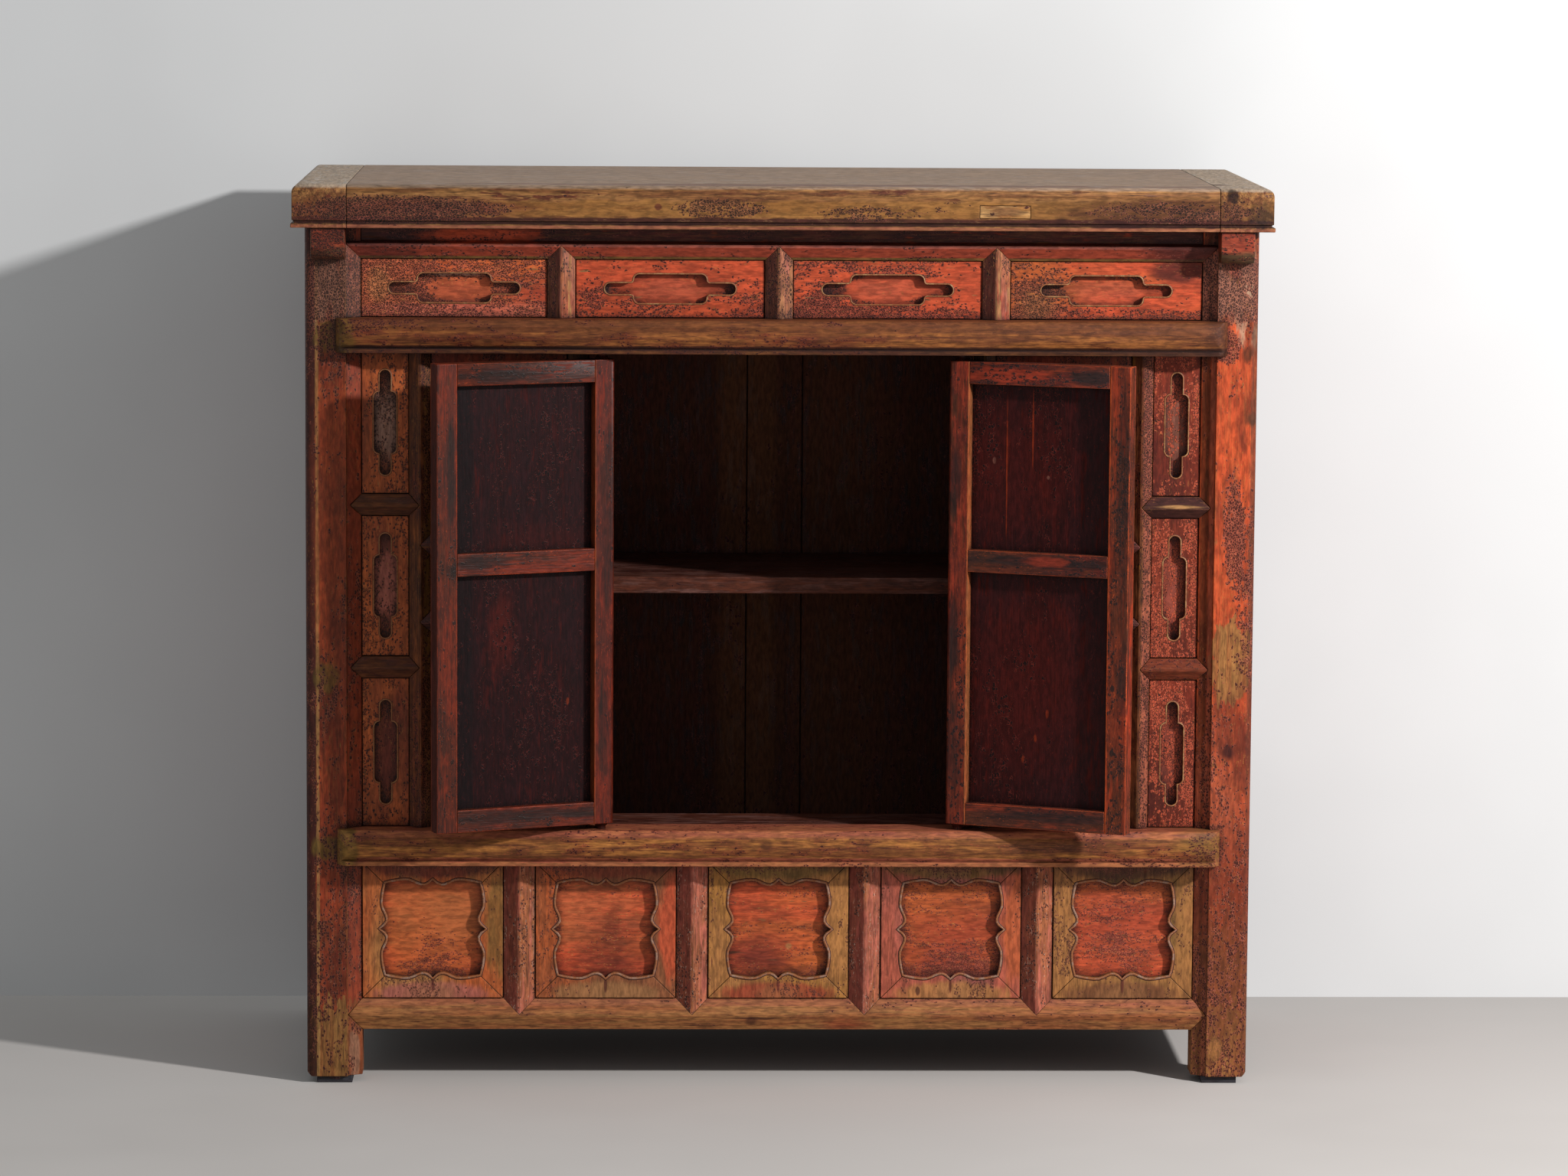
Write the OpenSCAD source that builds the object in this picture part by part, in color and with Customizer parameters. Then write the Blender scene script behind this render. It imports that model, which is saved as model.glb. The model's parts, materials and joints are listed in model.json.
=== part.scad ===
// Painted sideboard: a framed case on four legs, with ridged and mitred front members, carved
// panels and two doors on turned wooden pivots. Sizes are in millimetres. The floor is z = 0, the
// front faces -y, and the origin is under the middle of the whole piece with its doors folded back.

/* [Case] */
// Width of the case over its legs
case_w = 1068; // [1010:2:1160]
// Depth of the case over its legs
case_d = 434; // [390:2:500]
// Height from the floor to the face of the top
total_h = 1020; // [980:2:1080]

/* [Top] */
// Thickness of the top
top_t = 48; // [40:1:56]
// Overhang of the top past the legs at each end
top_side = 14; // [10:1:26]
// Overhang of the top past the legs at the front
top_front = 30; // [27:1:36]
// Overhang of the top past the legs at the back
top_back = 8; // [5:1:14]
// Radius of the rounded upper edge of the top
top_round = 9; // [6:1:12]
// Width of each breadboard end of the top
cleat_w = 62; // [50:1:80]
// Length of the tongue that holds each breadboard end
cleat_tongue = 18; // [12:1:24]
// Thickness of that tongue
cleat_tongue_t = 14; // [10:1:18]
// Width of the repair let into the front edge of the top
patch_w = 56; // [30:1:80]
// Height of the repair
patch_h = 14; // [10:1:18]
// Depth of the repair
patch_d = 6; // [4:0.5:10]
// Distance of the repair from the middle of the top
patch_x = 246; // [150:1:340]
// Height of the repair above the underside of the top
patch_up = 14; // [8:1:16]

/* [Legs] */
// Width of a leg across the front
leg_w = 62; // [56:1:70]
// Depth of a leg
leg_d = 49; // [46:1:60]
// Radius of the outer corner of a leg
leg_round = 8; // [3:1:12]
// Width of the sloped inner edge of a front leg
facet_w = 16; // [12.5:0.5:16]
// Chamfer round the outer foot of a leg
foot_chamfer = 5; // [2:0.5:8]
// Height of a foot pad
pad_h = 8; // [4:1:12]
// Width of a foot pad
pad_w = 40; // [30:1:44]
// How far a cap block stands out in front of its leg
cap_out = 25; // [18:0.5:25]
// Radius of the rounded lower edge of a cap block
cap_round = 14; // [6:0.5:15]

/* [Rails] */
// Clear height under the bottom rail
foot_gap = 60; // [40:1:90]
// Height of the bottom rail, which also sets the width of the lower muntins
bottom_rail_h = 36; // [30:1:42]
// Height of the lower panels
lower_panel_h = 157; // [130:1:180]
// Height of the sill rail
sill_h = 40; // [34:1:44]
// Height of the waist rail
waist_h = 38; // [34:1:44]
// Height of the upper panels
upper_panel_h = 66; // [56:1:80]
// Height of the top rail
top_rail_h = 36; // [30:1:44]
// How far the sill and waist rails stand out in front of the legs
nose_out = 21; // [19:0.5:23]
// Radius of the rounded front of these rails
nose_r = 25; // [23:1:32]
// How far these rails lap over the faces of the legs
nose_lap = 11; // [8:1:16]
// How far the lip under these rails stands out in front of the legs
rail_lip_out = 18.5; // [16:0.5:19]
// Depth from the legs' front to the back of the rails
rail_back = 35; // [32:1:40]

/* [Mouldings] */
// Depth from the legs' front to the ridges
ridge_y = 5; // [4:0.5:7]
// Depth from the legs' front to the foot of the slopes
facet_y = 13; // [11:0.5:15]
// Width of the narrow flat along a ridge
ridge_flat = 3; // [1:0.5:4]
// Width of the upper muntins
upper_muntin_w = 31; // [24:1:36]
// Sideways shift of the hand-spaced upper muntins
upper_shift = -4; // [-8:1:8]
// Width of the stiles and height of the cross rails between them
stile_w = 24; // [20:1:25]

/* [Columns and bays] */
// Width of the narrow panels beside the legs
column_w = 54; // [46:1:62]
// Height of the lowest column panel
column_low_h = 170; // [150:1:190]
// Height of the middle column panel
column_mid_h = 160; // [145:1:180]
// Height of the lowest panel of a fixed bay
bay_low_h = 222; // [180:1:250]
// Height of the short middle panel of a fixed bay
bay_mid_h = 63; // [50:1:90]

/* [Panels] */
// Depth from the legs' front to the faces of the panels
panel_y = 15; // [13:0.5:16]
// Open line round the face of a panel
panel_gap = 0.8; // [0.5:0.1:1.5]
// Depth from the legs' front to the panel tongues, and to the sunk fields of the lower panels
tongue_y = 20; // [19:0.5:21]
// Thickness of the panel tongues
tongue_t = 8; // [6:0.5:9]
// Width of the panel tongues
tongue_w = 5; // [3:0.5:6]
// Depth of the carved cartouches
carve_d = 8.5; // [6:0.5:9]
// Length of an upper cartouche
upper_cart_l = 147; // [120:1:160]
// Length of its middle block
upper_block_l = 82; // [60:1:96]
// Height of its middle block
upper_block_h = 33; // [26:1:38]
// Height of the arms of every cartouche
cart_arm = 13; // [10:0.5:15]
// Length of a column cartouche
column_cart_l = 119; // [100:1:130]
// Length of its middle block
column_block_l = 70; // [56:1:84]
// Width of its middle block
column_block_w = 26; // [22:1:32]

/* [Lower panels] */
// Depth from the legs' front to the faces of the mitred borders
border_y = 11; // [9:0.5:13]
// Width of the border at the sides
border_side = 23; // [18:1:28]
// Width of the border at the top
border_top = 21; // [18:1:26]
// Width of the border at the bottom
border_foot = 24; // [18:1:28]
// Inward swell of the scalloped edge
scallop = 6; // [4:0.5:8]
// Outward reach of the pointed cusps in the upright edges
cusp_side = 3; // [1:0.5:5]
// Outward reach of the pointed cusps in the level edges
cusp_level = 0.5; // [0:0.5:3]
// How far the corners of the scalloped opening are drawn in
corner_in = 3.5; // [2:0.5:6]
// Open line between mitred border pieces
mitre_gap = 0.5; // [0.3:0.1:1]

/* [Doors] */
// Width of a door
door_w = 213; // [190:1:225]
// Thickness of a door
door_t = 20; // [18:1:21]
// Width of the door stiles
door_stile = 24; // [22:1:27]
// Height of the door rails
door_rail = 25; // [20:1:32]
// Height of the lower door panel
door_low_h = 263; // [220:1:290]
// Depth of the door panels behind the inner face
door_recess = 13; // [11:0.5:13.5]
// Thickness of the tongues of the door panels
door_tongue_t = 4; // [3:0.5:4]
// Gap above and below a door
door_end_gap = 7; // [5:0.5:9]
// Gap between the closed doors
meeting_gap = 2; // [1:0.5:3]
// Gap between a door and its jamb
jamb_gap = 2; // [1.5:0.5:4]
// Depth from the legs' front to the pivots
pivot_y = 3; // [2.5:0.1:3.2]
// Radius of a pivot pin
pin_r = 5.5; // [4.5:0.1:6]
// Running clearance round a pivot pin
pin_fit = 0.08; // [0.04:0.01:0.1]
// Length of a pin in its socket
pin_in = 10; // [7:0.5:13]
// Angle that the doors stand open
door_open = 157.5; // [130:0.5:158]

/* [Inside] */
// Depth from the legs' front to the shelf
shelf_front = 166; // [120:1:220]
// Height of the face of the shelf
shelf_z = 560; // [500:1:620]
// Thickness of the shelf
shelf_t = 19; // [14:1:24]
// Depth from the legs' front to the back of the ledge behind the sill
ledge_back = 160; // [120:1:200]
// Thickness of the ledge
ledge_t = 14; // [10:1:18]
// Drop of the ledge below the sill
ledge_drop = 8; // [4:1:12]
// Width and height of the bearers
bearer = 18; // [14:1:22]
// Thickness of the bottom boards
bottom_t = 12; // [9:1:16]

/* [Sides and back] */
// Thickness of the side and back rails
side_rail_t = 24; // [20:1:26]
// Set-back of the side rails from the faces of the legs
side_set = 4; // [2:1:6]
// Height of the upper side and back rails
side_top_h = 50; // [40:1:60]
// Thickness of the side panels and back boards
side_panel_t = 12; // [9:1:14]
// Width of the narrow middle back board
back_mid_w = 66; // [50:1:90]
// Sideways place of that board
back_mid_x = 3; // [-20:1:20]
// Open seam between back boards
seam = 1.5; // [0.5:0.5:3]

/* [Hidden] */
$fn = 64;

// Clearance between seated pieces
fit = 0.3;
// Height of the small lips under the top and under the nosed rails
lip_h = 5;
// How far the lip of the top stands out past its face
top_lip_out = 1.5;
// Height and depth of the groove above the lip of the top
lip_groove_h = 3;
lip_groove_d = 2;
// Length of the tenons of the rails, and of the stub tenons of stiles and muntins
tenon_l = 32;
stub_l = 8;
// Thickness of the tenons, and their set-back from the edges of a rail
tenon_t = 12;
stub_t = 7;
tenon_in = 7;
// Convex corners of a stepped cartouche
cart_round = 6.5;
// Steps along half a scalloped edge, and where it comes in and goes out furthest
scallop_steps = 12;
swell_at = 0.2;
lobe_at = 0.55;
// Wooden socket below a pin's end, and the cone that leads from a stile to its pin
socket_spare = 1;
cone_h = 4;
// Round on the corners of the doors' hinge edge and on the ends of the nosed rails
door_round = 4;
lap_round = 20;
// Thickness of the tongues between the back boards
back_tongue = 4;

// Heights of the tiers
under_z = total_h - top_t;
top_rail_z = under_z - top_rail_h;
waist_z = top_rail_z - upper_panel_h - waist_h;
bottom_top = foot_gap + bottom_rail_h;
sill_z = bottom_top + lower_panel_h;
sill_top = sill_z + sill_h;
waist_top = waist_z + waist_h;

// Half widths across the front
outer_x = case_w / 2;
inner_x = outer_x - leg_w;
facet_x = inner_x + facet_w;
lap_x = facet_x + nose_lap;
stile_x = inner_x - column_w - stile_w / 2;
hinge_edge = meeting_gap / 2 + door_w;
pivot_x = hinge_edge - door_stile / 2;
jamb_x = hinge_edge + jamb_gap + stile_w / 2;

// Foot of the step between a front leg's face and its slope
step_y = ridge_y - 1;
back_front = case_d - side_rail_t;
side_out = outer_x - side_set;
side_in = side_out - side_rail_t;
side_mid = (side_out + side_in) / 2;
back_mid = case_d - side_set - side_rail_t / 2;
panel_in = side_mid - side_panel_t / 2;
ledge_z = sill_top - ledge_drop;

// Heights of the middle lines of the cross rails
column_z = [sill_top + column_low_h + stile_w / 2,
            sill_top + column_low_h + column_mid_h + stile_w * 1.5];
bay_z = [sill_top + bay_low_h + stile_w / 2,
         sill_top + bay_low_h + bay_mid_h + stile_w * 1.5];

// Middle lines of the muntins, and the openings between them
upper_step = (2 * inner_x + upper_muntin_w) / 4;
upper_muntin_x = [for (i = [-1 : 1]) i * upper_step + upper_shift];
upper_edges = concat([-inner_x - upper_muntin_w / 2], upper_muntin_x,
                     [inner_x + upper_muntin_w / 2]);
lower_step = (2 * inner_x + bottom_rail_h) / 5;
lower_edges = [for (i = [0 : 5]) -inner_x - bottom_rail_h / 2 + i * lower_step];
lower_muntin_x = [for (i = [1 : 4]) lower_edges[i]];

// Reach of the open doors, which sets the origin
fold = 180 - door_open;
door_front = pivot_y - (door_w - door_stile / 2) * sin(fold) - door_t / 2 * cos(fold);
top_y0 = -top_front;
top_y1 = case_d + top_back;
mid_y = (min(door_front, top_y0) + top_y1) / 2;

lacquer = [0.70, 0.27, 0.15];
ochre = [0.66, 0.47, 0.24];
maroon = [0.38, 0.16, 0.12];
bare = [0.55, 0.40, 0.26];
plum = [0.24, 0.12, 0.11];

// A box from its two corners
module block(x0, x1, y0, y1, z0, z1) {
    translate([x0, y0, z0]) cube([x1 - x0, y1 - y0, z1 - z0]);
}

// A flat outline in x and z given a thickness in y
module plate(y0, t) {
    translate([0, y0 + t, 0]) rotate([90, 0, 0]) linear_extrude(t) children();
}

// A section in y and z drawn out along x
module along_x(x0, x1) {
    translate([x0, 0, 0]) rotate([90, 0, 90]) linear_extrude(x1 - x0) children();
}

module rect(x0, x1, y0, y1) {
    translate([x0, y0]) square([x1 - x0, y1 - y0]);
}

// Moves a piece from the legs' front to the middle of the whole
module placed() {
    translate([0, -mid_y, 0]) children();
}

// Draws a right-hand piece, or its mirror image on the left
module on_side(side) {
    mirror([side < 0 ? 1 : 0, 0, 0]) children();
}

// Groove for panel tongues in one edge of a member, as a section
module groove(edge, depth) {
    rect(edge - depth, edge + depth, tongue_y - fit, tongue_y + tongue_t + fit);
}

// Ridged section of a member w wide, across in x and deep in y
module ridge_section(w, grooves = [1, 1]) {
    difference() {
        polygon([[-ridge_flat / 2, ridge_y], [ridge_flat / 2, ridge_y], [w / 2, facet_y],
                 [w / 2, rail_back], [-w / 2, rail_back], [-w / 2, facet_y]]);
        if (grooves[0] == 1) groove(-w / 2, tongue_w + fit);
        if (grooves[1] == 1) groove(w / 2, tongue_w + fit);
    }
}

// Sloped front of that section alone, as it runs on into a mitred point
module ridge_point_section(w) {
    intersection() {
        ridge_section(w, [0, 0]);
        rect(-w, w, 0, facet_y - fit);
    }
}

// Triangle of a mitred point, with its base centred at the origin and its tip along +y
module point_outline(w, reach) {
    polygon([[-w / 2, 0], [w / 2, 0], [0, reach]]);
}

// Upright ridged member, with a mitred point at the ends that ask for one
module ridge_post(x, w, z0, z1, tip_down = 0, tip_up = 0) {
    translate([x, 0, 0]) {
        translate([0, 0, z0]) linear_extrude(z1 - z0) ridge_section(w);
        intersection() {
            translate([0, 0, z0 - tip_down]) linear_extrude(z1 - z0 + tip_down + tip_up)
                ridge_point_section(w);
            plate(0, facet_y) union() {
                rect(-w / 2, w / 2, z0, z1);
                if (tip_up > 0) translate([0, z1]) point_outline(w, tip_up - fit);
                if (tip_down > 0) translate([0, z0]) mirror([0, 1]) point_outline(w, tip_down - fit);
            }
        }
    }
}

// Level ridged member between two uprights, with a mitred point at both ends
module ridge_bar(x0, x1, z, w, tip, grooves = [1, 1]) {
    along_x(x0 + fit, x1 - fit) mirror([1, -1]) translate([z, 0]) ridge_section(w, grooves);
    intersection() {
        along_x(x0 - tip, x1 + tip) mirror([1, -1]) translate([z, 0]) ridge_point_section(w);
        plate(0, facet_y) union() {
            rect(x0 + fit, x1 - fit, z - w / 2, z + w / 2);
            translate([x1 - fit, z]) rotate(-90) point_outline(w, tip - fit);
            translate([x0 + fit, z]) rotate(90) point_outline(w, tip - fit);
        }
    }
}

// Recess that takes such a point in the slope of an upright; side is the way that it points
module side_notch(x, z, w, reach, side) {
    plate(-1, facet_y + 1) translate([x, z]) rotate(-90 * side)
        translate([0, -0.01]) point_outline(w, reach);
}

// Recess that takes the point of an upright in the slope of a rail; way is 1 up or -1 down
module end_notch(x, z, w, reach, way) {
    plate(-1, facet_y + 1) translate([x, z]) mirror([0, way < 0 ? 1 : 0])
        translate([0, -0.01]) point_outline(w, reach);
}

// Stub tenon at one end of an upright, or with spare its mortise
module stub(x, z, w, way, spare = 0) {
    depth = stub_l + spare;
    block(x - w / 4 - spare, x + w / 4 + spare, rail_back - stub_t - 2 - spare,
          rail_back - 2 + spare, way > 0 ? z : z - depth, way > 0 ? z + depth : z);
}

// Section of a nosed rail h high, deep in x and high in y
module nose_section(h) {
    rect(0, rail_back, 0, h);
    rect(-rail_lip_out, rail_back, 0, lip_h);
    intersection() {
        translate([nose_r - nose_out, (h + lip_h) / 2]) circle(nose_r);
        rect(-nose_out, rail_back, lip_h, h);
    }
}

// Plan of a nosed rail, which steps back round the legs and laps over their faces
module nose_plan() {
    difference() {
        union() {
            rect(fit - inner_x, inner_x - fit, -nose_out, rail_back);
            rect(fit - facet_x, facet_x - fit, -nose_out, facet_y - fit);
            rect(-lap_x, lap_x, -nose_out, -fit);
        }
        for (s = [-1, 1]) mirror([s < 0 ? 1 : 0, 0]) difference() {
            rect(lap_x - lap_round, lap_x + 1, -nose_out - 1, lap_round - nose_out);
            translate([lap_x - lap_round, lap_round - nose_out]) circle(lap_round);
        }
    }
}

// Tenons of a front rail in both front legs
module front_tenons(z, h) {
    for (s = [-1, 1]) on_side(s)
        block(inner_x - 1, inner_x + tenon_l, tongue_y + fit, tongue_y + fit + tenon_t,
              z + tenon_in, z + h - tenon_in);
}

// Nosed rail between the front legs
module nosed_rail(z, h) {
    translate([0, 0, z]) intersection() {
        along_x(-lap_x, lap_x) nose_section(h);
        linear_extrude(h) nose_plan();
    }
    front_tenons(z, h);
}

// Mortise for the tenon of a front rail
module front_mortise(z, h) {
    block(inner_x - 1, inner_x + tenon_l + fit, tongue_y, tongue_y + tenon_t + 2 * fit,
          z + tenon_in - fit, z + h - tenon_in + fit);
}

// Mortise for the tenon of a side rail, in the back of a front leg
module side_mortise(z, h) {
    block(side_mid - tenon_t / 2 - fit, side_mid + tenon_t / 2 + fit,
          leg_d - tenon_l - fit, leg_d + 1, z + tenon_in - fit, z + h - tenon_in + fit);
}

// Plan of a leg, with the rounded outer corner to the front
module leg_plan() {
    difference() {
        rect(inner_x, outer_x, 0, leg_d);
        difference() {
            rect(outer_x - leg_round, outer_x + 1, -1, leg_round);
            translate([outer_x - leg_round, leg_round]) circle(leg_round);
        }
    }
}

// Leg with the joints that front and back legs share
module leg_blank() {
    difference() {
        translate([0, 0, pad_h]) linear_extrude(under_z - pad_h) leg_plan();
        translate([outer_x, -1, pad_h]) rotate([0, 45, 0])
            cube([foot_chamfer * sqrt(2), leg_d * 3, foot_chamfer * sqrt(2)], center = true);
        side_mortise(foot_gap, bottom_rail_h);
        side_mortise(sill_z, sill_h);
        side_mortise(under_z - side_top_h, side_top_h);
        block(side_mid - side_panel_t / 2 - fit, side_mid + side_panel_t / 2 + fit,
              leg_d - tongue_w - fit, leg_d + 1, foot_gap, under_z);
    }
}

// Front leg: its slope, and the seats of the front rails and panels
module front_leg() {
    difference() {
        leg_blank();
        translate([0, 0, pad_h - 1]) linear_extrude(under_z)
            polygon([[inner_x - 1, -1], [facet_x, -1], [facet_x, step_y], [inner_x, facet_y],
                     [inner_x - 1, facet_y]]);
        block(inner_x - 1, inner_x + tongue_w + fit, tongue_y - fit, tongue_y + tongue_t + fit,
              foot_gap, under_z + 1);
        for (r = [[foot_gap, bottom_rail_h], [sill_z, sill_h], [waist_z, waist_h],
                  [top_rail_z, top_rail_h]]) front_mortise(r[0], r[1]);
        for (r = [[sill_z, sill_h], [waist_z, waist_h]])
            block(inner_x - 1, facet_x, -1, facet_y, r[0], r[0] + r[1]);
        for (z = column_z) side_notch(inner_x, z, stile_w, stile_w / 2, 1);
        side_notch(inner_x, foot_gap + bottom_rail_h / 2, bottom_rail_h, facet_w, 1);
        plate(-1, facet_y + 1) top_rail_end(0);
    }
}

// Back leg: the seats of the back rails and boards
module back_leg() {
    y_in = case_d - back_mid;
    difference() {
        leg_blank();
        block(inner_x - 1, inner_x + tongue_w + fit, y_in - side_panel_t / 2 - fit,
              y_in + side_panel_t / 2 + fit, foot_gap, under_z + 1);
        for (r = [[foot_gap, bottom_rail_h], [under_z - side_top_h, side_top_h]])
            block(inner_x - 1, inner_x + tenon_l + fit, y_in - tenon_t / 2 - fit,
                  y_in + tenon_t / 2 + fit, r[0] + tenon_in - fit, r[0] + r[1] - tenon_in + fit);
    }
}

// Mitred end of the top rail in x and z, over the slope of a leg
module top_rail_end(gap) {
    polygon([[inner_x - 1, top_rail_z - 1], [facet_x - gap, top_rail_z + facet_w],
             [facet_x - gap, under_z + 1], [inner_x - 1, under_z + 1]]);
}

module top_rail() {
    ridge_z = top_rail_z + upper_muntin_w / 2;
    color(maroon) placed() difference() {
        union() {
            intersection() {
                along_x(-facet_x, facet_x) polygon([[facet_y, top_rail_z],
                    [ridge_y, ridge_z - ridge_flat / 2], [ridge_y, ridge_z + ridge_flat / 2],
                    [panel_y, ridge_z + 3 * ridge_flat / 2], [panel_y, under_z],
                    [rail_back, under_z], [rail_back, top_rail_z]]);
                union() {
                    block(fit - inner_x, inner_x - fit, 0, rail_back, top_rail_z, under_z);
                    for (s = [-1, 1]) on_side(s) plate(0, facet_y - fit) top_rail_end(fit);
                }
            }
            front_tenons(top_rail_z, top_rail_h);
        }
        along_x(-inner_x, inner_x) mirror([1, -1]) groove(top_rail_z, tongue_w + fit);
        for (x = upper_muntin_x) {
            end_notch(x, top_rail_z, upper_muntin_w, upper_muntin_w / 2, 1);
            stub(x, top_rail_z - 1, upper_muntin_w, 1, fit + 1);
        }
    }
}

// Sockets of the door pivots, above or below the doorway
module sockets(z, way) {
    depth = pin_in + socket_spare;
    for (s = [-1, 1]) translate([s * pivot_x, pivot_y, way > 0 ? z - 1 : z - depth])
        cylinder(r = pin_r + pin_fit, h = depth + 1);
}

// Mortises of the stiles and jambs in a rail
module stile_mortises(z, way) {
    for (s = [-1, 1]) for (x = [stile_x, jamb_x])
        stub(s * x, way > 0 ? z - 1 : z + 1, stile_w, way, fit + 1);
}

// Panel grooves of a rail beside the doorway
module bay_grooves(z) {
    for (s = [-1, 1]) on_side(s)
        along_x(jamb_x, inner_x) mirror([1, -1]) groove(z, tongue_w + fit);
}

module waist_rail() {
    color(ochre) placed() difference() {
        nosed_rail(waist_z, waist_h);
        along_x(-inner_x, inner_x) mirror([1, -1]) groove(waist_top, tongue_w + fit);
        for (x = upper_muntin_x) stub(x, waist_top + 1, upper_muntin_w, -1, fit + 1);
        bay_grooves(waist_z);
        stile_mortises(waist_z, 1);
        sockets(waist_z, 1);
    }
}

module sill_rail() {
    color(ochre) placed() difference() {
        nosed_rail(sill_z, sill_h);
        along_x(-inner_x, inner_x) mirror([1, -1]) groove(sill_z, tongue_w + fit);
        for (x = lower_muntin_x) stub(x, sill_z - 1, bottom_rail_h, 1, fit + 1);
        bay_grooves(sill_top);
        stile_mortises(sill_top, -1);
        sockets(sill_top, -1);
    }
}

module bottom_rail() {
    color(ochre) placed() difference() {
        union() {
            ridge_bar(-inner_x, inner_x, foot_gap + bottom_rail_h / 2, bottom_rail_h, facet_w,
                      [0, 1]);
            front_tenons(foot_gap, bottom_rail_h);
        }
        for (x = lower_muntin_x) {
            end_notch(x, bottom_top, bottom_rail_h, bottom_rail_h / 2, -1);
            stub(x, bottom_top + 1, bottom_rail_h, -1, fit + 1);
        }
    }
}

// Section of the top in depth and height, or of its ends in width and height
module top_section(y0, y1) {
    lip = top_lip_out;
    neck = lip + lip_groove_d;
    rect(y0, y1, 0, lip_h);
    rect(y0 + neck, y1 - neck, 0, top_t - top_round);
    rect(y0 + lip, y1 - lip, lip_h + lip_groove_h, top_t - top_round);
    rect(y0 + lip + top_round, y1 - lip - top_round, 0, top_t);
    for (y = [y0 + lip + top_round, y1 - lip - top_round])
        translate([y, top_t - top_round]) circle(top_round);
}

// The top in one piece, before it is parted into its board and ends
module top_blank() {
    half = outer_x + top_side;
    translate([0, 0, under_z]) intersection() {
        along_x(-half, half) top_section(top_y0, top_y1);
        translate([0, top_y1 + 1, 0]) rotate([90, 0, 0]) linear_extrude(top_y1 - top_y0 + 2)
            top_section(-half, half);
    }
}

// Tongues of the board in its breadboard ends
module top_tongues(spare) {
    joint = outer_x + top_side - cleat_w;
    mid = under_z + (top_t - top_round) / 2;
    for (s = [-1, 1]) on_side(s)
        block(joint - 1 - spare, joint + cleat_tongue + spare,
              top_y0 + 2 * cleat_tongue_t - spare, top_y1 - 2 * cleat_tongue_t + spare,
              mid - cleat_tongue_t / 2 - spare, mid + cleat_tongue_t / 2 + spare);
}

// Seat or body of the repair in the front edge
module patch_body(spare) {
    face = top_y0 + top_lip_out;
    block(patch_x - patch_w / 2 - spare, patch_x + patch_w / 2 + spare,
          spare > 0 ? face - 5 : face, face + patch_d + spare,
          under_z + patch_up - spare, under_z + patch_up + patch_h + spare);
}

module top_board() {
    joint = outer_x + top_side - cleat_w - fit / 2;
    color(bare) placed() {
        difference() {
            intersection() {
                top_blank();
                block(-joint, joint, top_y0, top_y1, 0, total_h);
            }
            patch_body(fit / 2);
        }
        top_tongues(0);
    }
}

module top_cleat(side) {
    joint = outer_x + top_side - cleat_w + fit / 2;
    color(bare) placed() on_side(side) difference() {
        intersection() {
            top_blank();
            block(joint, outer_x + top_side, top_y0, top_y1, 0, total_h);
        }
        top_tongues(fit);
    }
}

module top_patch() {
    color(ochre) placed() patch_body(0);
}

module foot_pads() {
    color([0.45, 0.45, 0.47]) placed() for (s = [-1, 1]) for (y = [leg_d / 2, case_d - leg_d / 2])
        block(s * (outer_x - leg_w / 2) - pad_w / 2, s * (outer_x - leg_w / 2) + pad_w / 2,
              y - pad_w / 2, y + pad_w / 2, 0, pad_h);
}

// Block under the top in front of a leg, with its lower front edge rounded
module cap_block(side) {
    color(maroon) placed() on_side(side) along_x(facet_x, outer_x - leg_round) {
        rect(-cap_out, -fit, top_rail_z + cap_round, under_z);
        rect(cap_round - cap_out, -fit, top_rail_z, under_z);
        intersection() {
            rect(-cap_out, cap_round - cap_out, top_rail_z, top_rail_z + cap_round);
            translate([cap_round - cap_out, top_rail_z + cap_round]) circle(cap_round);
        }
    }
}

// Stepped cartouche along x: a middle block with round corners and hollow shoulders, and two arms
module cartouche(length, block_l, block_h) {
    shoulder = (block_h - cart_arm) / 2 - cart_round;
    square([length - cart_arm, cart_arm], center = true);
    square([block_l - 2 * cart_round, block_h], center = true);
    square([block_l, block_h - 2 * cart_round], center = true);
    for (sx = [0, 1]) for (sy = [0, 1]) mirror([sx, 0]) mirror([0, sy]) {
        translate([(length - cart_arm) / 2, 0]) circle(cart_arm / 2);
        translate([block_l / 2 - cart_round, block_h / 2 - cart_round]) circle(cart_round);
        difference() {
            rect(block_l / 2 - 1, block_l / 2 + shoulder, 0, cart_arm / 2 + shoulder);
            translate([block_l / 2 + shoulder, cart_arm / 2 + shoulder]) circle(shoulder);
        }
    }
}

// Panel behind an opening, its tongue in the grooves round it, and its carving as a child outline
module carved_panel(x0, x1, z0, z1) {
    difference() {
        union() {
            plate(panel_y, tongue_y - panel_y)
                rect(x0 + panel_gap, x1 - panel_gap, z0 + panel_gap, z1 - panel_gap);
            plate(tongue_y, tongue_t)
                rect(x0 - tongue_w, x1 + tongue_w, z0 - tongue_w, z1 + tongue_w);
        }
        plate(panel_y - 1, carve_d + 1) translate([(x0 + x1) / 2, (z0 + z1) / 2]) children();
    }
}

module upper_panel(i) {
    color(lacquer) placed()
        carved_panel(upper_edges[i - 1] + upper_muntin_w / 2, upper_edges[i] - upper_muntin_w / 2,
                     waist_top, top_rail_z)
            cartouche(upper_cart_l, upper_block_l, upper_block_h);
}

module upper_muntins() {
    color(maroon) placed() for (x = upper_muntin_x) {
        ridge_post(x, upper_muntin_w, waist_top, top_rail_z, 0, upper_muntin_w / 2);
        stub(x, top_rail_z, upper_muntin_w, 1);
        stub(x, waist_top, upper_muntin_w, -1);
    }
}

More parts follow.
